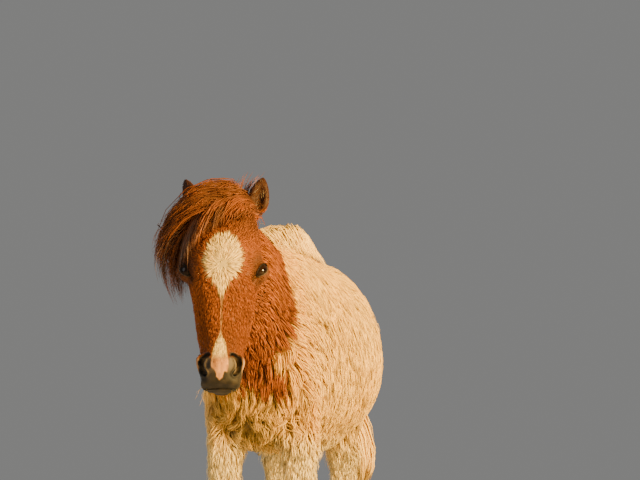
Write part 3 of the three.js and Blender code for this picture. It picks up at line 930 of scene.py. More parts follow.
def locks(name, lines, half, outward, uv, tint, shade, flat=0.5):
    """One joined mesh of locks. lines: (n, k, 3) centres with the tip last; half: (n, k-1) half widths."""
    n, k = lines.shape[:2]
    rings, each = k - 1, (k - 1) * SIDES + 1
    tangent = unit(np.gradient(lines, axis=1).reshape(-1, 3)).reshape(n, k, 3)[:, :rings]
    side = unit(np.cross(tangent, outward[:, None]).reshape(-1, 3)).reshape(n, rings, 3)
    up = np.cross(side, tangent)
    centre, reach = lines[:, :rings], half[..., None]
    ring = np.stack([centre - side * reach, centre + side * reach, centre + up * reach * 2 * flat], 2)
    places = np.concatenate([ring.reshape(n, rings * SIDES, 3), lines[:, -1:]], 1)
    quads, triangles = lock_faces(rings)
    base = (np.arange(n) * each)[:, None]
    corners = np.concatenate([(base + np.array(quads).ravel()), (base + np.array(triangles).ravel())], 1)
    sizes = np.tile([4] * len(quads) + [3] * len(triangles), n)
    mesh = bpy.data.meshes.new(name)
    mesh.vertices.add(n * each)
    mesh.vertices.foreach_set("co", places.astype(np.float32).ravel())
    mesh.loops.add(corners.size)
    mesh.loops.foreach_set("vertex_index", corners.astype(np.int32).ravel())
    mesh.polygons.add(len(sizes))
    mesh.polygons.foreach_set("loop_start", np.concatenate([[0], np.cumsum(sizes)[:-1]]).astype(np.int32))
    along = np.linspace(0, 1, k)
    grow = np.concatenate([np.repeat(along[:-1], SIDES), [1]])
    across = np.concatenate([np.tile([0.0, 1.0, 0.5], rings), [0.5]])
    patch = uv[:, None] + PATCH * (np.stack([across, grow], 1) - 0.5)[None]
    layer = mesh.uv_layers.new(name="OFBake")
    layer.data.foreach_set("uv", patch.reshape(-1, 2)[corners.ravel()].astype(np.float32).ravel())
    set_tint(mesh, (tint[:, None] * shade(grow)[None, :, None]).reshape(-1, 3))
    long = np.linalg.norm(np.diff(lines, axis=1), axis=2).sum(1)
    number = np.arange(n)[:, None]
    grain = np.zeros((n, each, 3), np.float32)
    grain[..., 0] = (across - 0.5) * 2 * half.max(1)[:, None] + number * GRAIN_ASIDE % 1.0
    grain[..., 1] = grow * long[:, None] * GRAIN_LENGTHWISE + number * GRAIN_ALONG % 1.0
    mesh.attributes.new("grain", "FLOAT_VECTOR", "POINT").data.foreach_set("vector", grain.ravel())
    mesh.update(calc_edges=True)
    mesh.polygons.foreach_set("use_smooth", np.ones(len(sizes), bool))
    mesh.materials.append(hair_paint)
    obj = bpy.data.objects.new(name, mesh)
    bpy.context.scene.collection.objects.link(obj)
    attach(obj, "root")
    return obj


print("a lock of three rings has", 2 * len(lock_faces(3)[0]) + len(lock_faces(3)[1]), "triangles")

# %% [markdown]
# ## Roots
# Hair grows evenly, so roots are scattered over the skin by area, with more of them where the
# hair is finer. The ball of the eye, the holes of the nose and the lips carry none.

# %% Scatter the roots
HOOF_EDGE = 0.040
EYE_BARE, NOSTRIL_BARE, LIP_BARE = 0.032, 0.0060, 0.35
BALL_OUT = 0.0026

skin.data.calc_loop_triangles()
skin_triangles = skin.data.loop_triangles
count = len(skin_triangles)
corner_points = read(skin_triangles, "vertices", 3, np.int32)
corner_loops = read(skin_triangles, "loops", 3, np.int32)
flat_uv = read(skin.data.uv_layers["OFBake"].data, "uv", 2, np.float32)
skin_points, skin_normals = points_of(skin), normals_of(skin)
triangle = skin_points[corner_points]
middle = triangle.mean(1)
sides = triangle[:, 1] - triangle[:, 0], triangle[:, 2] - triangle[:, 0]
area = np.linalg.norm(np.cross(*sides), axis=1) / 2


def scatter(weight, number):
    """Roots, normals and map places for a number of hairs, spread by area times weight."""
    share = area * weight
    chosen = rng.choice(count, number, p=share / share.sum())
    bary = rng.dirichlet((1, 1, 1), number)[..., None]
    roots = (triangle[chosen] * bary).sum(1)
    normals = unit((skin_normals[corner_points[chosen]] * bary).sum(1))
    return roots, normals, (flat_uv[corner_loops[chosen]] * bary).sum(1)


def grows_hair(points):
    """True where hair grows: not on the eye, in the nostrils, or on the bare lips."""
    fine = np.ones(len(points), bool)
    for side in (1, -1):
        radius, outside = in_eye(points, side)[:2]
        fine &= ~((radius < EYE_BARE) & (outside < BALL_OUT))
        fine &= nostril_gap(points, side) > NOSTRIL_BARE
    bare = bare_share(*in_head(points)) * head_share(points) > LIP_BARE
    return fine & ~bare & (points[:, 2] > HOOF_EDGE)


print("skin to grow hair on:", round(float(area[grows_hair(middle)].sum()), 2), "square metres")

# %% [markdown]
# ## Tufts
# A lock follows the skin: its middle and its end are laid back on the surface and lifted by the
# depth of the coat, which is what keeps the coat close. It may wave sideways. The tips of
# neighbours are drawn together into tufts, as they are in a real coat, and a few locks stand out.

# %% Laying hair on the skin
GATHER_LATE = 1.4
surface = surface_tree(skin)


def hug(places):
    """The nearest places on the skin, and the way out from it there."""
    found = [surface.find_nearest(place) for place in places]
    return np.array([hit[0] for hit in found]), np.array([hit[1] for hit in found])


def tree_of(places):
    tree = KDTree(len(places))
    for index, place in enumerate(places):
        tree.insert(place, index)
    tree.balance()
    return tree


def gather(lines, t, size, pull):
    """Draws the tips of neighbouring locks together, about size of them in each tuft."""
    leaders = rng.choice(len(lines), len(lines) // size, replace=False)
    tree = tree_of(lines[leaders, 0])
    nearest = leaders[[tree.find(root)[1] for root in lines[:, 0]]]
    share = (pull * t**GATHER_LATE)[None, :, None]
    return lines * (1 - share) + lines[nearest] * share


off_skin = np.linalg.norm(hug(middle[:1])[0] - middle[:1])
print("a place on the skin is laid back on it within", round(1000 * float(off_skin), 3), "mm")

# %% [markdown]
# The next function grows one piece of the coat. Length and width are given for each root, since
# both follow the depth of the coat there. The hair ends above the floor.

# %% Grow locks
FLOOR_GAP = 0.016
ALONG = [0, 0.3, 0.6, 1]
LIFT = [0.0, 0.62, 1.0, 0.92]
WIDTH = [0.7, 1.0, 0.8, 0.25]
# Painted shade: each lock darker towards its root, and its tip a little lighter.
SHADE_ALONG, SHADE = [0, 0.3, 0.7, 1], [0.80, 0.94, 1.0, 1.03]
ROOT_DEEP = 0.001


def shade(grow):
    return np.interp(grow, SHADE_ALONG, SHADE)


def standing(roots, depth, stands):
    """How far each lock stands off the skin. A few stand out, more of them on legs and belly."""
    leg = leg_share(roots)
    low = step(0.47, 0.40, roots[:, 2]) * (1 - leg) * step(0.150, 0.105, abs(roots[:, 0]))
    stand = depth * rng.uniform(*stands, len(roots))
    stray = rng.random(len(roots)) < 0.03 + 0.10 * low + 0.04 * leg
    return stand * np.where(stray, 1.25 + 0.5 * low + 0.9 * leg, 1.0)


def grow(name, weight, number, long, wide, rings, wave, turns, slot, flat=0.3, stands=(0.65, 1.0), dye=None,
         tuft=(10, 0.5)):
    """Locks over part of the body. long and wide are for each root; wave is the size of its curls."""
    roots, normals, uv = scatter(weight, number)
    kept = grows_hair(roots)
    roots, normals, uv = roots[kept], normals[kept], uv[kept]
    n = len(roots)
    depth = coat_depth(roots)
    length = long(roots, depth) * rng.uniform(0.7, 1.25, n)
    width = wide(roots, depth) * rng.uniform(0.7, 1.3, n)
    flow = lie(roots, normals)
    drop = np.maximum(-flow[:, 2], 0.01)
    length = np.minimum(length, np.maximum((roots[:, 2] - FLOOR_GAP) / drop, 0.004))
    stand = standing(roots, depth, stands)
    half_way, half_normals = hug(roots + flow * (length / 2)[:, None])
    ends, end_normals = hug(half_way + unit(half_way - roots) * (length / 2)[:, None])
    t = np.linspace(0, 1, rings + 1)
    blend = np.stack([(1 - t) * (1 - 2 * t), 4 * t * (1 - t), t * (2 * t - 1)], 1)
    base = np.einsum("sk,nkd->nsd", blend, np.stack([roots, half_way, ends], 1))
    out_way = np.einsum("sk,nkd->nsd", blend, np.stack([normals, half_normals, end_normals], 1))
    side = np.cross(flow, normals)
    phase = rng.uniform(-0.9, 0.9, n) + 9 * noise(roots, 0.05, 21)
    swing = wave(roots) * rng.uniform(0.5, 1.4, n)
    angle = phase[:, None] + 2 * np.pi * (turns * rng.uniform(0.7, 1.3, n))[:, None] * t
    curl = swing[:, None] * t
    height = stand[:, None] * np.interp(t, ALONG, LIFT) + curl * np.cos(angle) * 0.6 - ROOT_DEEP
    lines = base + out_way * height[..., None] + side[:, None] * (curl * np.sin(angle))[..., None]
    lines = gather(lines, t, *tuft)
    half = width[:, None] / 2 * np.interp(t[:-1], ALONG, WIDTH)
    half *= np.where(rng.random(n) < 0.3, 0.5, 1.0)[:, None]
    tint = coat_colour(lines[:, rings // 2], rng.random(n), normals) * rng.uniform(0.95, 1.04, n)[:, None]
    if dye is not None:
        tint = mix(dye * 0.7, dye * 1.2, rng.random(n))
    piece = locks(name, lines, half, normals, uv, tint, shade, flat)
    print(name, n, "locks,", sum(len(p.vertices) - 2 for p in piece.data.polygons), "triangles")


print("locks stand at", LIFT, "of the coat's depth along their length")

# %% [markdown]
# ## The coat of the body
# The coat is deepest and curliest on the chest, throat and belly, smooth and wavy on the flank,
# and fluffy on the legs. It is made in several pieces, each with its share of the skin.

# %% Grow the coat of the body
middle_head, middle_leg, middle_ear = head_share(middle), leg_share(middle), ear_share(middle)
middle_out, middle_front, middle_down = in_head(middle)
on_body = (1 - middle_head) * (1 - middle_leg) * (1 - middle_ear)
back = behind(middle)
chest = step(-0.17, -0.19, back) * step(0.69, 0.67, middle[:, 2])
ahead_of_barrel = step(-0.15, -0.17, back)
barrel = (1 - ahead_of_barrel) * (1 - chest)
left_side, rump = middle[:, 0] > 0, back >= 0.13


def even(size):
    return lambda points, depth=None: np.full(len(points), size)


def by_depth(least, share):
    """A length or width that grows with the depth of the coat."""
    return lambda points, depth: least + share * depth


def body_long(points, depth):
    return mix(0.058, 0.030, step(0.50, 0.42, points[:, 2])) + 1.2 * depth


def chest_wave(points):
    return mix(0.0012, 0.0065, fluff_share(points) * step(0.38, 0.42, points[:, 2]))


grow("coat_chest", on_body * chest, 8800, by_depth(0.020, 1.3), by_depth(0.0012, 0.065), 4, chest_wave, 1.1,
     "trunk_coat", 0.3, (0.55, 1.0), tuft=(14, 0.7))
for name, band, number in [
        ("coat_neck", ahead_of_barrel * (1 - chest), 13500),
        ("coat_left", barrel * left_side * ~rump, 17000),
        ("coat_right", barrel * ~left_side * ~rump, 16000),
        ("coat_rear", barrel * rump, 15500)]:
    grow(name, on_body * band, number, body_long, by_depth(0.0013, 0.09), 2, even(0.0010), 0.5,
         "trunk_coat", 0.25, (0.8, 1.0))
grow("coat_legs", middle_leg, 18000, by_depth(0.020, 1.2), by_depth(0.0022, 0.12), 2, even(0.0006), 0.6,
     "leg_coat", 0.15, (0.78, 0.94), tuft=(8, 0.3))

# %% [markdown]
# ## The coat of the head
# Face and ears have the shortest and finest hair, most of all on the nose, so more locks grow
# there. The hair of the star is longer, so its edge is ragged. A fringe of long hairs stands at
# the edge of each ear's hollow.

# %% Grow the coat of the head
nose = mix(1.0, 1.6, step(0.22, 0.28, middle_down))
face_weight = middle_head * (1 - middle_ear) * mix(1.0, 2.4, step(0.0, 0.03, middle_front)) * nose
STAR_LONGER = 0.0100


def face_long(points, depth):
    return 0.0062 + 1.6 * depth + STAR_LONGER * star_share(*in_head(points))


for name, band in [("coat_face_left", middle_out > 0), ("coat_face_right", middle_out <= 0)]:
    grow(name, face_weight * band, 13000, face_long, by_depth(0.0010, 0.17), 2, even(0.0004), 0.6,
         "head_coat", tuft=(6, 0.4))
grow("coat_ears", middle_ear, 3500, by_depth(0.0045, 2.6), by_depth(0.0016, 0), 2, even(0.0003), 0.6,
     "ear_coat")
hollow = in_ear_hollow(middle, unit(skin_normals[corner_points].mean(1)))
hollow = hollow * step(-0.006, 0.004, np.abs(middle_out) - 0.046)
grow("coat_ear_fringe", hollow, 70, even(0.011), even(0.0005), 3, even(0.0020), 0.5, "ear_coat", 0.3,
     (1.5, 3.0), TAN * 1.5)

# %% [markdown]
# ## Long hair
# Forelock, mane and tail hang in some dozens of bunches, each of many fine strands that run
# together at the tip. Long hair needs a place in the skin's map, a width that tapers, and painted
# shade at the root that lightens to painted light at the tip. These helpers give them, so every
# mass of hair is made alike.

# %% Helpers for long hair
TO_FRAME = np.array([0, SHIFT, 0])
skin_tree = tree_of(middle)


def uv_near(roots):
    """Map places of the skin nearest to the roots."""
    nearest = [skin_tree.find(root)[1] for root in roots]
    return flat_uv[corner_loops[nearest]].mean(1)


def bunched(bunches, strands):
    """The number of strands in all, and the bunch that each belongs to."""
    return bunches * strands, np.repeat(np.arange(bunches), strands)


def ripple(turns, first, s):
    """A wave along each strand, with the given number of turns."""
    return np.sin(2 * np.pi * (turns * s + first))


def tapered(half, s, n, thickest=1.4, shape=(0.8, 1, 0.75, 0.2)):
    """Half widths along n strands, a little different for each."""
    return half * rng.uniform(0.6, thickest, n)[:, None] * np.interp(s[:-1], [0, 0.2, 0.7, 1], shape)


def strands_at(name, lines, half, outward, rand, colour, shades=(0.55, 0.9, 1.05, 1.2)):
    """Long hair from ready centre lines."""
    tint = colour(lines[:, lines.shape[1] // 2], rand)
    # shades: painted shade at the root, rising to painted light at the tip.
    piece = locks(name, lines, half, outward, uv_near(lines[:, 0]), tint,
                  lambda grow: np.interp(grow, [0, 0.25, 0.8, 1], shades), 0.5)
    print(name, len(lines), "strands")
    return piece


print("map places to choose from:", len(middle))

# %% [markdown]
# A mass of hair is drawn as rows of a place and of how far the hair reaches sideways, outwards
# and inwards there. Every strand keeps its place across the mass while it runs along it, so the
# mass fills the solid of the frame and no more, and a few strands stand out at its edge.

# %% Hair through a mass
AHEAD = 0.01
ROOT_SHARE = 0.12


def through(rows, across, u, v, t):
    """Places at u across and v through a mass of hair, at t along its rows, given in mm."""
    rows = np.asarray(rows) / 1000
    at, size = spline(rows[:, :3], t), spline(rows[:, 3:], t)
    ahead = spline(rows[:, :3], np.minimum(t + AHEAD, 1)) - spline(rows[:, :3], np.maximum(t - AHEAD, 0))
    outward = np.cross(np.asarray(across, float), ahead)
    outward /= np.linalg.norm(outward, axis=-1, keepdims=True)
    flank = np.cross(ahead, outward)
    flank /= np.linalg.norm(flank, axis=-1, keepdims=True)
    thick = np.where(v > 0, size[..., 1], size[..., 2])
    at = at + flank * (u * size[..., 0])[..., None] + outward * (v * thick)[..., None]
    return at + TO_FRAME, outward


def long_hair(name, rows, across, bunches, strands, start, end, wide, colour, rings, drifts=(0, 0),
              flick=0.0, loose=(1.0, 1.0), taper=0.0):
    """A mass of hair. Bunches start and end between the given shares of its rows, drift across it
    and flick outwards at the tip. taper shortens the outer hair."""
    n, of = bunched(bunches, strands)
    turn_round = rng.uniform(0, 2 * np.pi, bunches)
    reach = np.sqrt(rng.uniform(0.15, 0.92, bunches))
    u0, v0 = reach * np.cos(turn_round), reach * np.sin(turn_round)
    begin = rng.uniform(*start, bunches)[of] + rng.uniform(-0.02, 0.02, n)
    shorter = taper * np.clip(v0[of] + 0.2, 0, 1)
    stop = rng.uniform(*end, bunches)[of] + rng.uniform(-0.07, 0.03, n) - shorter
    s = np.linspace(0, 1, rings + 1)
    stray = ((rng.random(n) < 0.12) * rng.uniform(0.2, 0.6, n))[:, None]
    t = np.clip(begin[:, None] + (stop - begin)[:, None] * s, 0, 1)
    spread = np.interp(s, [0, 0.5, 1], [1.0, 0.9, 0.6])
    sway_turns, sway_first = rng.uniform(0.8, 1.6, bunches), rng.uniform(0, 1, bunches)
    sway = 0.11 * ripple(sway_turns[of, None], sway_first[of, None], s) * s
    fine_sway = 0.05 * ripple(rng.uniform(0.7, 1.7, n)[:, None], rng.uniform(0, 1, n)[:, None], s)
    drift = rng.uniform(*drifts, bunches)[of, None] * (s - 0.35)
    u = u0[of, None] + rng.normal(0, 0.13, n)[:, None] * spread + sway + fine_sway + drift
    v = v0[of, None] + rng.normal(0, 0.16, n)[:, None] * spread + fine_sway * 0.6 + stray * s**2
    v = v + flick * rng.uniform(-0.2, 1.0, bunches)[of, None] * s**1.5
    v = np.where(s < ROOT_SHARE, np.minimum(v, -0.4) * (1 - s / ROOT_SHARE) + v * s / ROOT_SHARE, v)
    size = np.sqrt(u**2 + v**2) / (np.where(stray > 0, 1.25, 1.0) * rng.uniform(*loose, (n, 1)))
    u, v = u / np.maximum(size, 1), v / np.maximum(size, 1)
    lines, outward = through(rows, across, u, v, t)
    half = tapered(wide / 2, s, n)
    rand = rng.random(n) * 0.6 + 0.4 * rng.random(bunches)[of]
    return strands_at(name, lines, half, outward[:, rings // 2], rand, colour,
                      (0.65, 0.95, 1.05, 1.15))


print("strands leave the skin over the first", ROOT_SHARE, "of their length")

# %% [markdown]
# ## Colours of the long hair
# The forelock is a dull brownish red, with painted shade that darkens it where it hangs beside
# the face. The mane is red in front and pale towards the withers, and the tail is pale. Each
# strand differs a little.

# %% Colour of a strand
UMBER_SHADE = np.array([0.150, 0.105, 0.085])


def red_hair(points, rand):
    red = mix(CHESTNUT, DARK_RED, np.clip(0.9 - 1.6 * rand, 0, 1))
    return mix(red, BRIGHT_RED, np.clip(1.6 * rand - 0.9, 0, 0.8))


def forelock_red(points, rand):
    # Painted shade: darker umber where the forelock hangs beside the face.
    shade_where_hanging = step(0.03, 0.12, in_head(points)[2])
    brown = np.clip(0.55 + 0.6 * (0.5 - rand) + noise(points, 0.02, 31), 0, 1)
    dull = mix(red_hair(points, rand) * 0.8, BROWN, brown)
    return mix(dull, UMBER_SHADE, shade_where_hanging * np.clip(1.1 - 0.7 * rand, 0, 1))


def mane_hair(points, rand):
    pale = mix((PALE + CREAM) / 2, SAND, np.clip(rand, 0, 1) * 0.5)
    return mix(red_hair(points, rand), pale, step(-0.37, -0.29, behind(points) + 0.03 * (rand - 0.5)))


def tail_pale(points, rand):
    return mix((PALE + CREAM) / 2, SAND, rand * 0.6)


print("darkest forelock:", UMBER_SHADE.tolist())

# %% [markdown]
# ## Forelock and tail
# The forelock starts between the ears and is swept down over the pony's right eye and cheek. The
# tail starts at the dock and swings to the pony's left. Both follow the same rows of place and
# reach as their solids.

# %% Forelock and tail
FORELOCK = [[24, -478, 838, 30, 18, 16], [-2, -494, 846, 46, 24, 24], [-42, -508, 838, 58, 28, 26],
            [-84, -512, 806, 60, 28, 26], [-109, -502, 756, 58, 27, 28], [-112, -488, 708, 52, 22, 30],
            [-100, -474, 664, 40, 18, 26], [-88, -464, 622, 20, 12, 15]]
TAIL = [[0, 392, 742, 22, 20, 20], [0, 424, 722, 30, 26, 28], [2, 446, 660, 44, 28, 30],
        [20, 452, 565, 54, 30, 32], [58, 450, 480, 54, 30, 30], [90, 448, 408, 46, 27, 27],
        [98, 446, 344, 30, 19, 19], [90, 444, 296, 9, 7, 7]]
forelock = long_hair("forelock_hair", FORELOCK, (0, 0.8, 0.6), 130, 14, (0.0, 0.55), (0.45, 0.90), 0.0018,
                     forelock_red, 6, (-1.7, 0.2), 0.9, (0.80, 1.15), 0.22)
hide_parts("forelock")
tail = long_hair("tail_hair", TAIL, (1, 0, 0), 36, 22, (0.0, 0.2), (0.72, 1.0), 0.0034,
                 tail_pale, 8)
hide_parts("tail")

# %% [markdown]
# ## Mane
# The mane rises from the crest of the neck and falls to the pony's right. Near the withers it is
# short and bushy and falls to both sides. Its crest and its fall are each drawn as a row of
# points along the neck, and every strand starts at one place along both.

# %% Where each strand of the mane starts and falls
CREST = [[-22, -458, 834, 20], [-20, -400, 822, 18], [-12, -345, 812, 14], [6, -290, 812, 14],
         [33, -238, 823, 26], [50, -190, 829, 28], [58, -140, 830, 22], [58, -94, 820, 12]]
FALL = [[-44, -458, 806, 56], [-58, -415, 790, 82], [-62, -365, 778, 94], [-60, -310, 774, 94],
        [-48, -255, 786, 78], [-34, -212, 802, 48], [-20, -170, 812, 34], [-4, -120, 816, 22]]
bunches = 140
n, of = bunched(bunches, 13)
place = np.clip(rng.uniform(0, 1, bunches)[of] + rng.normal(0, 0.022, n), 0, 1)
crest, fall = spline(np.array(CREST) / 1000, place), spline(np.array(FALL) / 1000, place)
left = rng.random(n) < np.clip((place - 0.36) * 2.0, 0, 0.55)
way = np.where(left, 1.0, -1.0)
out_by = 0.55 * rng.uniform(0.0, 1.0, bunches)[of] + 0.45 * rng.uniform(0, 1, n)
left_long = rng.uniform(0.3, 0.9, n)
right_long = rng.uniform(0.5, 1.0, bunches)[of] * rng.uniform(0.6, 1.0, n)
longest = np.where(left, left_long, right_long)
print("mane strands that fall to the left:", int(left.sum()), "of", n)

# %% [markdown]
# A strand of the mane passes four points: its root under the crest, its top, a point at the side
# of the neck and its tip. The last two are partly laid back on the skin, so the mane lies close
# to the neck without sinking into the coat.

# %% The four points of each strand
zero = np.zeros(n)
root = crest[:, :3] + np.stack([rng.normal(0, 0.010, n), rng.normal(0, 0.006, n), zero - 0.030], 1)
top_up = crest[:, 3] * (0.10 + 0.80 * out_by)
top = crest[:, :3] + np.stack([way * 0.006, rng.normal(0, 0.008, n), top_up], 1)
lean = np.stack([way * 0.5, zero, zero - 0.86], 1)
out_way = np.stack([way * 0.86, zero, zero + 0.5], 1)
left_start = crest[:, :3] + np.stack([zero + 0.020, zero, zero - 0.008], 1)
start_side = np.where(left[:, None], left_start, fall[:, :3])
bulge = (np.where(left, 0.012, 0.024) * out_by)[:, None]
side_point = start_side + out_way * bulge + rng.normal(0, 0.002, (n, 3))
hang = (np.where(left, 0.052, fall[:, 3]) * longest)[:, None]
tip = start_side + lean * hang + out_way * (0.010 * out_by)[:, None]
tip += rng.normal(0, 0.006, (n, 3))
tip[:, 1] += 0.03 * rng.uniform(-0.3, 1, bunches)[of] + 0.04 * np.maximum(place - 0.6, 0)
guides = np.stack([root, top, side_point, tip], 1) + TO_FRAME
for k, above in ((2, 0.017), (3, 0.013)):
    lying, out_from = hug(guides[:, k])
    height = (above + 0.006 * out_by - 0.003 * left)[:, None]
    guides[:, k] = mix(guides[:, k], lying + out_from * height, np.full(n, 0.35 * k - 0.3))
print("mane ends from", guides[:, 3, 2].min().round(3), "to", guides[:, 3, 2].max().round(3), "metres up")

# %% [markdown]
# Each strand is then a smooth curve through its four points, with a slight wave that its bunch
# has in common.

# %% Mane
rings = 8
s = np.linspace(0, 1, rings + 1)
lines = np.einsum("sk,nkd->nsd", spline(np.eye(4), s), guides)
lines[:, :, 1] += 0.006 * ripple(1.2, rng.uniform(0, 1, bunches)[of, None], s) * s
half = tapered(0.0011, s, n)
mane = strands_at("mane_hair", lines, half, out_way, rng.random(n) * 0.6 + 0.4 * rng.random(bunches)[of],
                  mane_hair)
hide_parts("mane")

# %% [markdown]
# ## Fringe
# Under the long sweep of the forelock a fringe of shorter hair starts between the ears and lies
# over the top of the forehead. It runs downwards and to the pony's right, and its ends make a
# ragged edge above the star. Its strands are drawn out and down of the poll, over the brow.

# %% Fringe
FRINGE_ROOTS = [(0.050, 0.006), (0.042, -0.008), (0.030, -0.020), (0.010, -0.026), (-0.016, -0.026)]
FRINGE_TIPS = [(0.034, 0.040), (0.002, 0.062), (-0.034, 0.080), (-0.062, 0.108), (-0.084, 0.146)]
BROW_DOWN = [-0.03, 0.0, 0.042, 0.086, 0.133, 0.172]
BROW_FRONT = [0.040, 0.058, 0.074, 0.080, 0.077, 0.066]
bunches, rings = 160, 5
n, of = bunched(bunches, 10)
s = np.linspace(0, 1, rings + 1)
place = np.clip(rng.uniform(0, 1, bunches)[of] + rng.normal(0, 0.02, n), 0, 1)
begin = spline(FRINGE_ROOTS, place) + rng.normal(0, 0.006, (n, 2))
finish = spline(FRINGE_TIPS, place) + rng.normal(0, 0.006, (bunches, 2))[of] + rng.normal(0, 0.005, (n, 2))
first = rng.uniform(0.0, 0.5, bunches)[of] * (rng.random(bunches) < 0.6)[of]
last = first + (1 - first) * rng.uniform(0.75, 1.0, n)
t = first[:, None] + (last - first)[:, None] * s
out = begin[:, :1] + (finish - begin)[:, :1] * t - (0.003 + 0.014 * place)[:, None] * np.sin(np.pi * t)
down = begin[:, 1:] + (finish - begin)[:, 1:] * t
out += 0.003 * ripple(1.3, rng.uniform(0, 1, bunches)[of, None], s) * s
lift = np.interp(s, [0, 0.3, 0.75, 1], [0.1, 1.0, 0.9, 0.35])
height = (rng.uniform(0.002, 0.017, bunches)[of] + rng.normal(0, 0.0015, n))[:, None] * lift
front = np.interp(down, BROW_DOWN, BROW_FRONT) - abs(out / 0.075) ** 3 * 0.05 + height
outward = unit(np.stack([out[:, 3] * 0.6, np.full(n, -0.06), np.full(n, 0.02)], 1)) @ TURN.T
half = tapered(0.0010, s, n, shape=(0.7, 1, 0.7, 0.2))
strands_at("fringe_hair", from_head(out, front, down), half, outward,
           rng.random(n) * 0.5 + 0.5 * rng.random(bunches)[of], forelock_red)

# %% [markdown]
# ## Whiskers
# Whiskers grow singly from the lips and chin, mostly on the side that the light reaches. Each is
# a thin tapering hair that sags a little under its own weight.

# %% Whiskers
n = 30
side = np.where(rng.random(n) < 0.7, 1.0, -1.0)
out, front = side * rng.uniform(0.018, 0.036, n), rng.uniform(-0.030, 0.000, n)
starts = np.stack([out, front, rng.uniform(0.335, 0.355, n)], 1)
roots, normals = hug([on_head(*start) for start in starts])
way = normals + np.array([0, 0.2, -0.7]) + rng.normal(0, 0.25, (n, 3))
reach = rng.uniform(0.010, 0.028, n)[:, None]
sag = np.array([0, 0, -0.25]) * reach
s = np.linspace(0, 1, 6)
lines = roots[:, None] + (unit(way) * reach)[:, None] * s[:, None] + sag[:, None] * (s[:, None] ** 2)
half = np.tile(0.00024 * np.interp(s[:-1], [0, 1], [1, 0.3]), (n, 1))
strands_at("whiskers", lines, half, normals, rng.random(n),
           lambda points, rand: mix(SAND, GOLD, rand))

# %% [markdown]
# ## The standing wisp
# A wisp of long fine hair stands up behind the left ear. It is drawn out, forward and down of the
# poll, and bows a little to the pony's right.

# %% Standing wisp
n, rings = 60, 7
s = np.linspace(0, 1, rings + 1)
foot = np.stack([rng.uniform(0.012, 0.044, n), rng.uniform(-0.020, 0.010, n),
                 rng.uniform(-0.030, -0.010, n)], 1)
rise = np.stack([rng.normal(0.012, 0.010, n), rng.normal(0, 0.008, n), -rng.uniform(0.030, 0.085, n)], 1)
local = foot[:, None] + rise[:, None] * s[:, None]
local[:, :, 0] -= 0.010 * np.sin(np.pi * s)
half = tapered(0.0007, s, n, thickest=1.3)
strands_at("wisp_hair", from_head(*np.moveaxis(local, 2, 0)), half, np.tile([0.0, -1.0, 0.0], (n, 1)),
           rng.random(n), forelock_red)

# %% [markdown]
# ## Eyes
# Each eye is a ball of its own with a bulging clear front. The iris is a dark brown with a
# lying oval pupil, and the whole is wet, so it takes a small sharp highlight.

# %% Eyeballs
BULGE, BULGE_ANGLE = 0.05, 0.75
PUPIL_LONG, PUPIL_HIGH = 0.0085, 0.0055
IRIS = np.array([0.016, 0.007, 0.003])
PUPIL = np.array([0.003, 0.002, 0.002])
EYE_WHITE = np.array([0.020, 0.010, 0.008])


def new_piece(name, bm, material, slot_name, *nodes):
    """A smooth object from a bmesh, with its body and the solids that it stands for. slot_name is not used.
    """
    bmesh.ops.recalc_face_normals(bm, faces=bm.faces)
    mesh = bpy.data.meshes.new(name)
    for face in bm.faces:
        face.smooth = True
    bm.to_mesh(mesh)
    bm.free()
    mesh.materials.append(material)
    obj = bpy.data.objects.new(name, mesh)
    bpy.context.scene.collection.objects.link(obj)
    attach(obj, "root")
    if nodes:
        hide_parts(*nodes)
    return obj


eye_paint = paint("wet eye", 0.06, 0.12, 500, (0.7, 1.3), (0.0, 0.0001))
eye_paint.node_tree.nodes["Principled BSDF"].inputs["Coat Weight"].default_value = 0.08
eye_paint.node_tree.nodes["Principled BSDF"].inputs["Coat Roughness"].default_value = 0.03
for name, side in (("eye_left", 1), ("eye_right", -1)):
    eye_middle, long_way, high_way, gaze = eye_axes(side)
    bm = bmesh.new()
    bmesh.ops.create_uvsphere(bm, u_segments=48, v_segments=32, radius=BALL)
    axes = Matrix([[long_way[i], high_way[i], gaze[i]] for i in range(3)]).to_4x4()
    for vert in bm.verts:
        angle = math.acos(max(-1.0, min(1.0, vert.co.z / BALL)))
        vert.co *= 1 + BULGE * math.exp(-((angle / BULGE_ANGLE) ** 4))
    bmesh.ops.transform(bm, matrix=Matrix.Translation(eye_middle) @ axes, verts=bm.verts)
    ball = new_piece(f"{name}_ball", bm, eye_paint, "eye", name)
    place = points_of(ball) - eye_middle
    a, b = place @ long_way, place @ high_way
    colour = mix(IRIS, PUPIL, step(0.62, 0.52, np.hypot(a / PUPIL_LONG, b / PUPIL_HIGH)))
    colour = mix(colour, EYE_WHITE, step(0.66, 0.76, np.hypot(a, b) / BALL))
    set_tint(ball.data, colour)
    print(name, "at", np.round(eye_middle, 3).tolist())

# %% [markdown]
# ## Hoof horn
# Horn is dark, dull and finely ringed. A wave texture in bands across the height of the hoof
# gives the rings, and its distortion keeps them from being perfectly level.

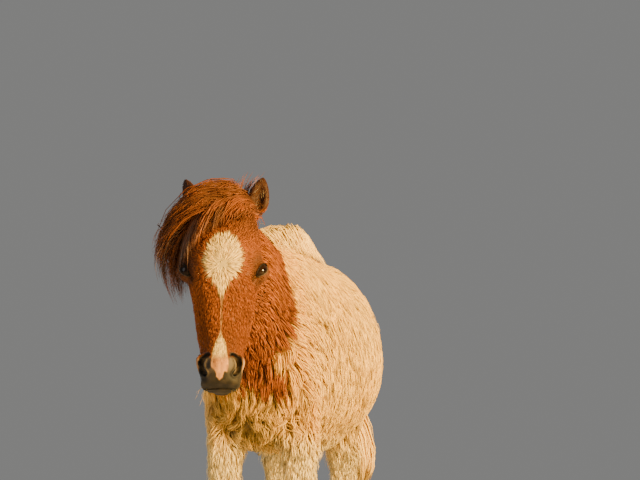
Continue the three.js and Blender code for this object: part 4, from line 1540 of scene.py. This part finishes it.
# %% Horn material
horn_paint = bpy.data.materials.new("hoof horn")
horn_paint.use_nodes = True
nodes, links = horn_paint.node_tree.nodes, horn_paint.node_tree.links
shader = nodes["Principled BSDF"]
shader.inputs["Roughness"].default_value = 0.55
where = nodes.new("ShaderNodeTexCoord")
grain = nodes.new("ShaderNodeTexWave")
grain.bands_direction = "Z"
for socket, value in (("Scale", 55), ("Distortion", 2.5), ("Detail", 3)):
    grain.inputs[socket].default_value = value
links.new(where.outputs["Object"], grain.inputs["Vector"])
ramp = nodes.new("ShaderNodeValToRGB")
ramp.color_ramp.elements[0].color = (0.05, 0.040, 0.032, 1)
ramp.color_ramp.elements[1].color = (0.13, 0.105, 0.080, 1)
links.new(grain.outputs["Fac"], ramp.inputs["Fac"])
links.new(ramp.outputs["Color"], shader.inputs["Base Color"])
print("material:", horn_paint.name)

# %% [markdown]
# ## Hooves
# A hoof grows down from the coronet in fine rings, flares to the ground and is lower and softer
# at the heel. Each is drawn up ring by ring from the outline of its sole.

# %% Hooves
HOOF_HALF_LONG, HOOF_TALL, HOOF_RINGS = 0.043, 0.046, 12
RIDGE, NARROWER, LEAN_BACK, HEEL_LOWER = 0.008, 0.14, 0.020, 0.014


def hoof(half_wide, sole):
    """A closed hoof on the outline of its sole."""
    bm = bmesh.new()
    bmesh.ops.create_circle(bm, cap_ends=True, segments=40, radius=1)
    rim = list(bm.edges)
    for _ in range(HOOF_RINGS):
        made = bmesh.ops.extrude_edge_only(bm, edges=rim)["geom"]
        rim = [item for item in made if isinstance(item, bmesh.types.BMEdge)]
        verts = [item for item in made if isinstance(item, bmesh.types.BMVert)]
        bmesh.ops.translate(bm, verts=verts, vec=(0, 0, 1 / HOOF_RINGS))
    bmesh.ops.contextual_create(bm, geom=rim)
    for vert in bm.verts:
        x, y, up = vert.co
        ridge = 1 + RIDGE * math.sin(up * 40) - NARROWER * up
        vert.co = Vector((sole.x + x * half_wide * ridge,
                          sole.y + y * HOOF_HALF_LONG * ridge + LEAN_BACK * up,
                          up * HOOF_TALL - max(0.0, y) * up * HEEL_LOWER))
    return bm


for leg in LEGS:
    node = leg.replace("leg", "hoof")
    low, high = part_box(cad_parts[node].name)
    sole = Vector(((low.x + high.x) / 2, low.y + HOOF_HALF_LONG, 0))
    new_piece(f"{node}_horn", hoof((high.x - low.x) / 2, sole), horn_paint, "hoof_horn", node)
print("hooves:", len(LEGS))

# %% [markdown]
# ## Floor
# The pony stands on a plain pale floor, wide enough to fill the picture. It is only there to be
# stood on and takes no part in the model.

# %% Floor
floor_mesh = bpy.data.meshes.new("floor")
bm = bmesh.new()
bmesh.ops.create_grid(bm, x_segments=2, y_segments=2, size=12)
bm.to_mesh(floor_mesh)
bm.free()
floor = bpy.data.objects.new("floor", floor_mesh)
bpy.context.scene.collection.objects.link(floor)
floor_paint = bpy.data.materials.new("pale floor")
floor_paint.use_nodes = True
floor_shader = floor_paint.node_tree.nodes["Principled BSDF"]
floor_shader.inputs["Base Color"].default_value = (0.62, 0.61, 0.59, 1)
floor_shader.inputs["Roughness"].default_value = 0.9
floor_mesh.materials.append(floor_paint)
print("floor of", floor.dimensions.x, "metres")

# %% [markdown]
# ## Light
# A low warm lamp stands at the camera's right, the side that the light comes from in the photo. A
# weak lamp fills the shadows, and a wide cool one behind keeps the coat's colour clear at the back.

# %% Light
world = bpy.data.worlds.new("studio")
world.use_nodes = True
world.node_tree.nodes["Background"].inputs["Color"].default_value = (0.63, 0.63, 0.62, 1)
world.node_tree.nodes["Background"].inputs["Strength"].default_value = 0.34
bpy.context.scene.world = world


def lamp(name, place, target, size, power, colour):
    light = bpy.data.lights.new(name, "AREA")
    light.shape = "DISK"
    light.size = size
    light.energy = power
    light.color = colour
    obj = bpy.data.objects.new(name, light)
    obj.location = place
    obj.rotation_euler = (Vector(target) - Vector(place)).to_track_quat("-Z", "Y").to_euler()
    bpy.context.scene.collection.objects.link(obj)
    print("lamp", name, "at", place)


lamp("key", (4.2, -1.9, 1.5), (0, -0.1, 0.55), 1.2, 1020, (1.0, 0.67, 0.22))
lamp("fill", (-3.2, -3.0, 1.8), (0, -0.2, 0.5), 2.5, 40, (0.95, 0.93, 0.95))
lamp("back", (-2.4, 3.4, 2.2), (0, 0.1, 0.5), 3.0, 150, (0.86, 0.93, 1.0))

# %% [markdown]
# ## Camera
# The camera is low and close, and looks a little upwards from the pony's left. Its place and lens
# were fitted to the photo by the eyes, ears, muzzle, chest and croup.

# %% Camera
CAMERA = {"place": (0.582, -2.618 + SHIFT, 0.33), "azimuth": 11.0, "rise": 11.17, "lens": 67.5}
camera = bpy.data.cameras.new("camera")
camera.lens = CAMERA["lens"]
camera.sensor_width = 36
camera.clip_start, camera.clip_end = 0.05, 100
eye_point = bpy.data.objects.new("camera", camera)
eye_point.location = CAMERA["place"]
eye_point.rotation_euler = (math.radians(90 + CAMERA["rise"]), 0, math.radians(CAMERA["azimuth"]))
bpy.context.scene.collection.objects.link(eye_point)
bpy.context.scene.camera = eye_point
print("camera at", np.round(CAMERA["place"], 3).tolist())

# %% [markdown]
# ## The end

# %% The end
bpy.context.view_layer.update()
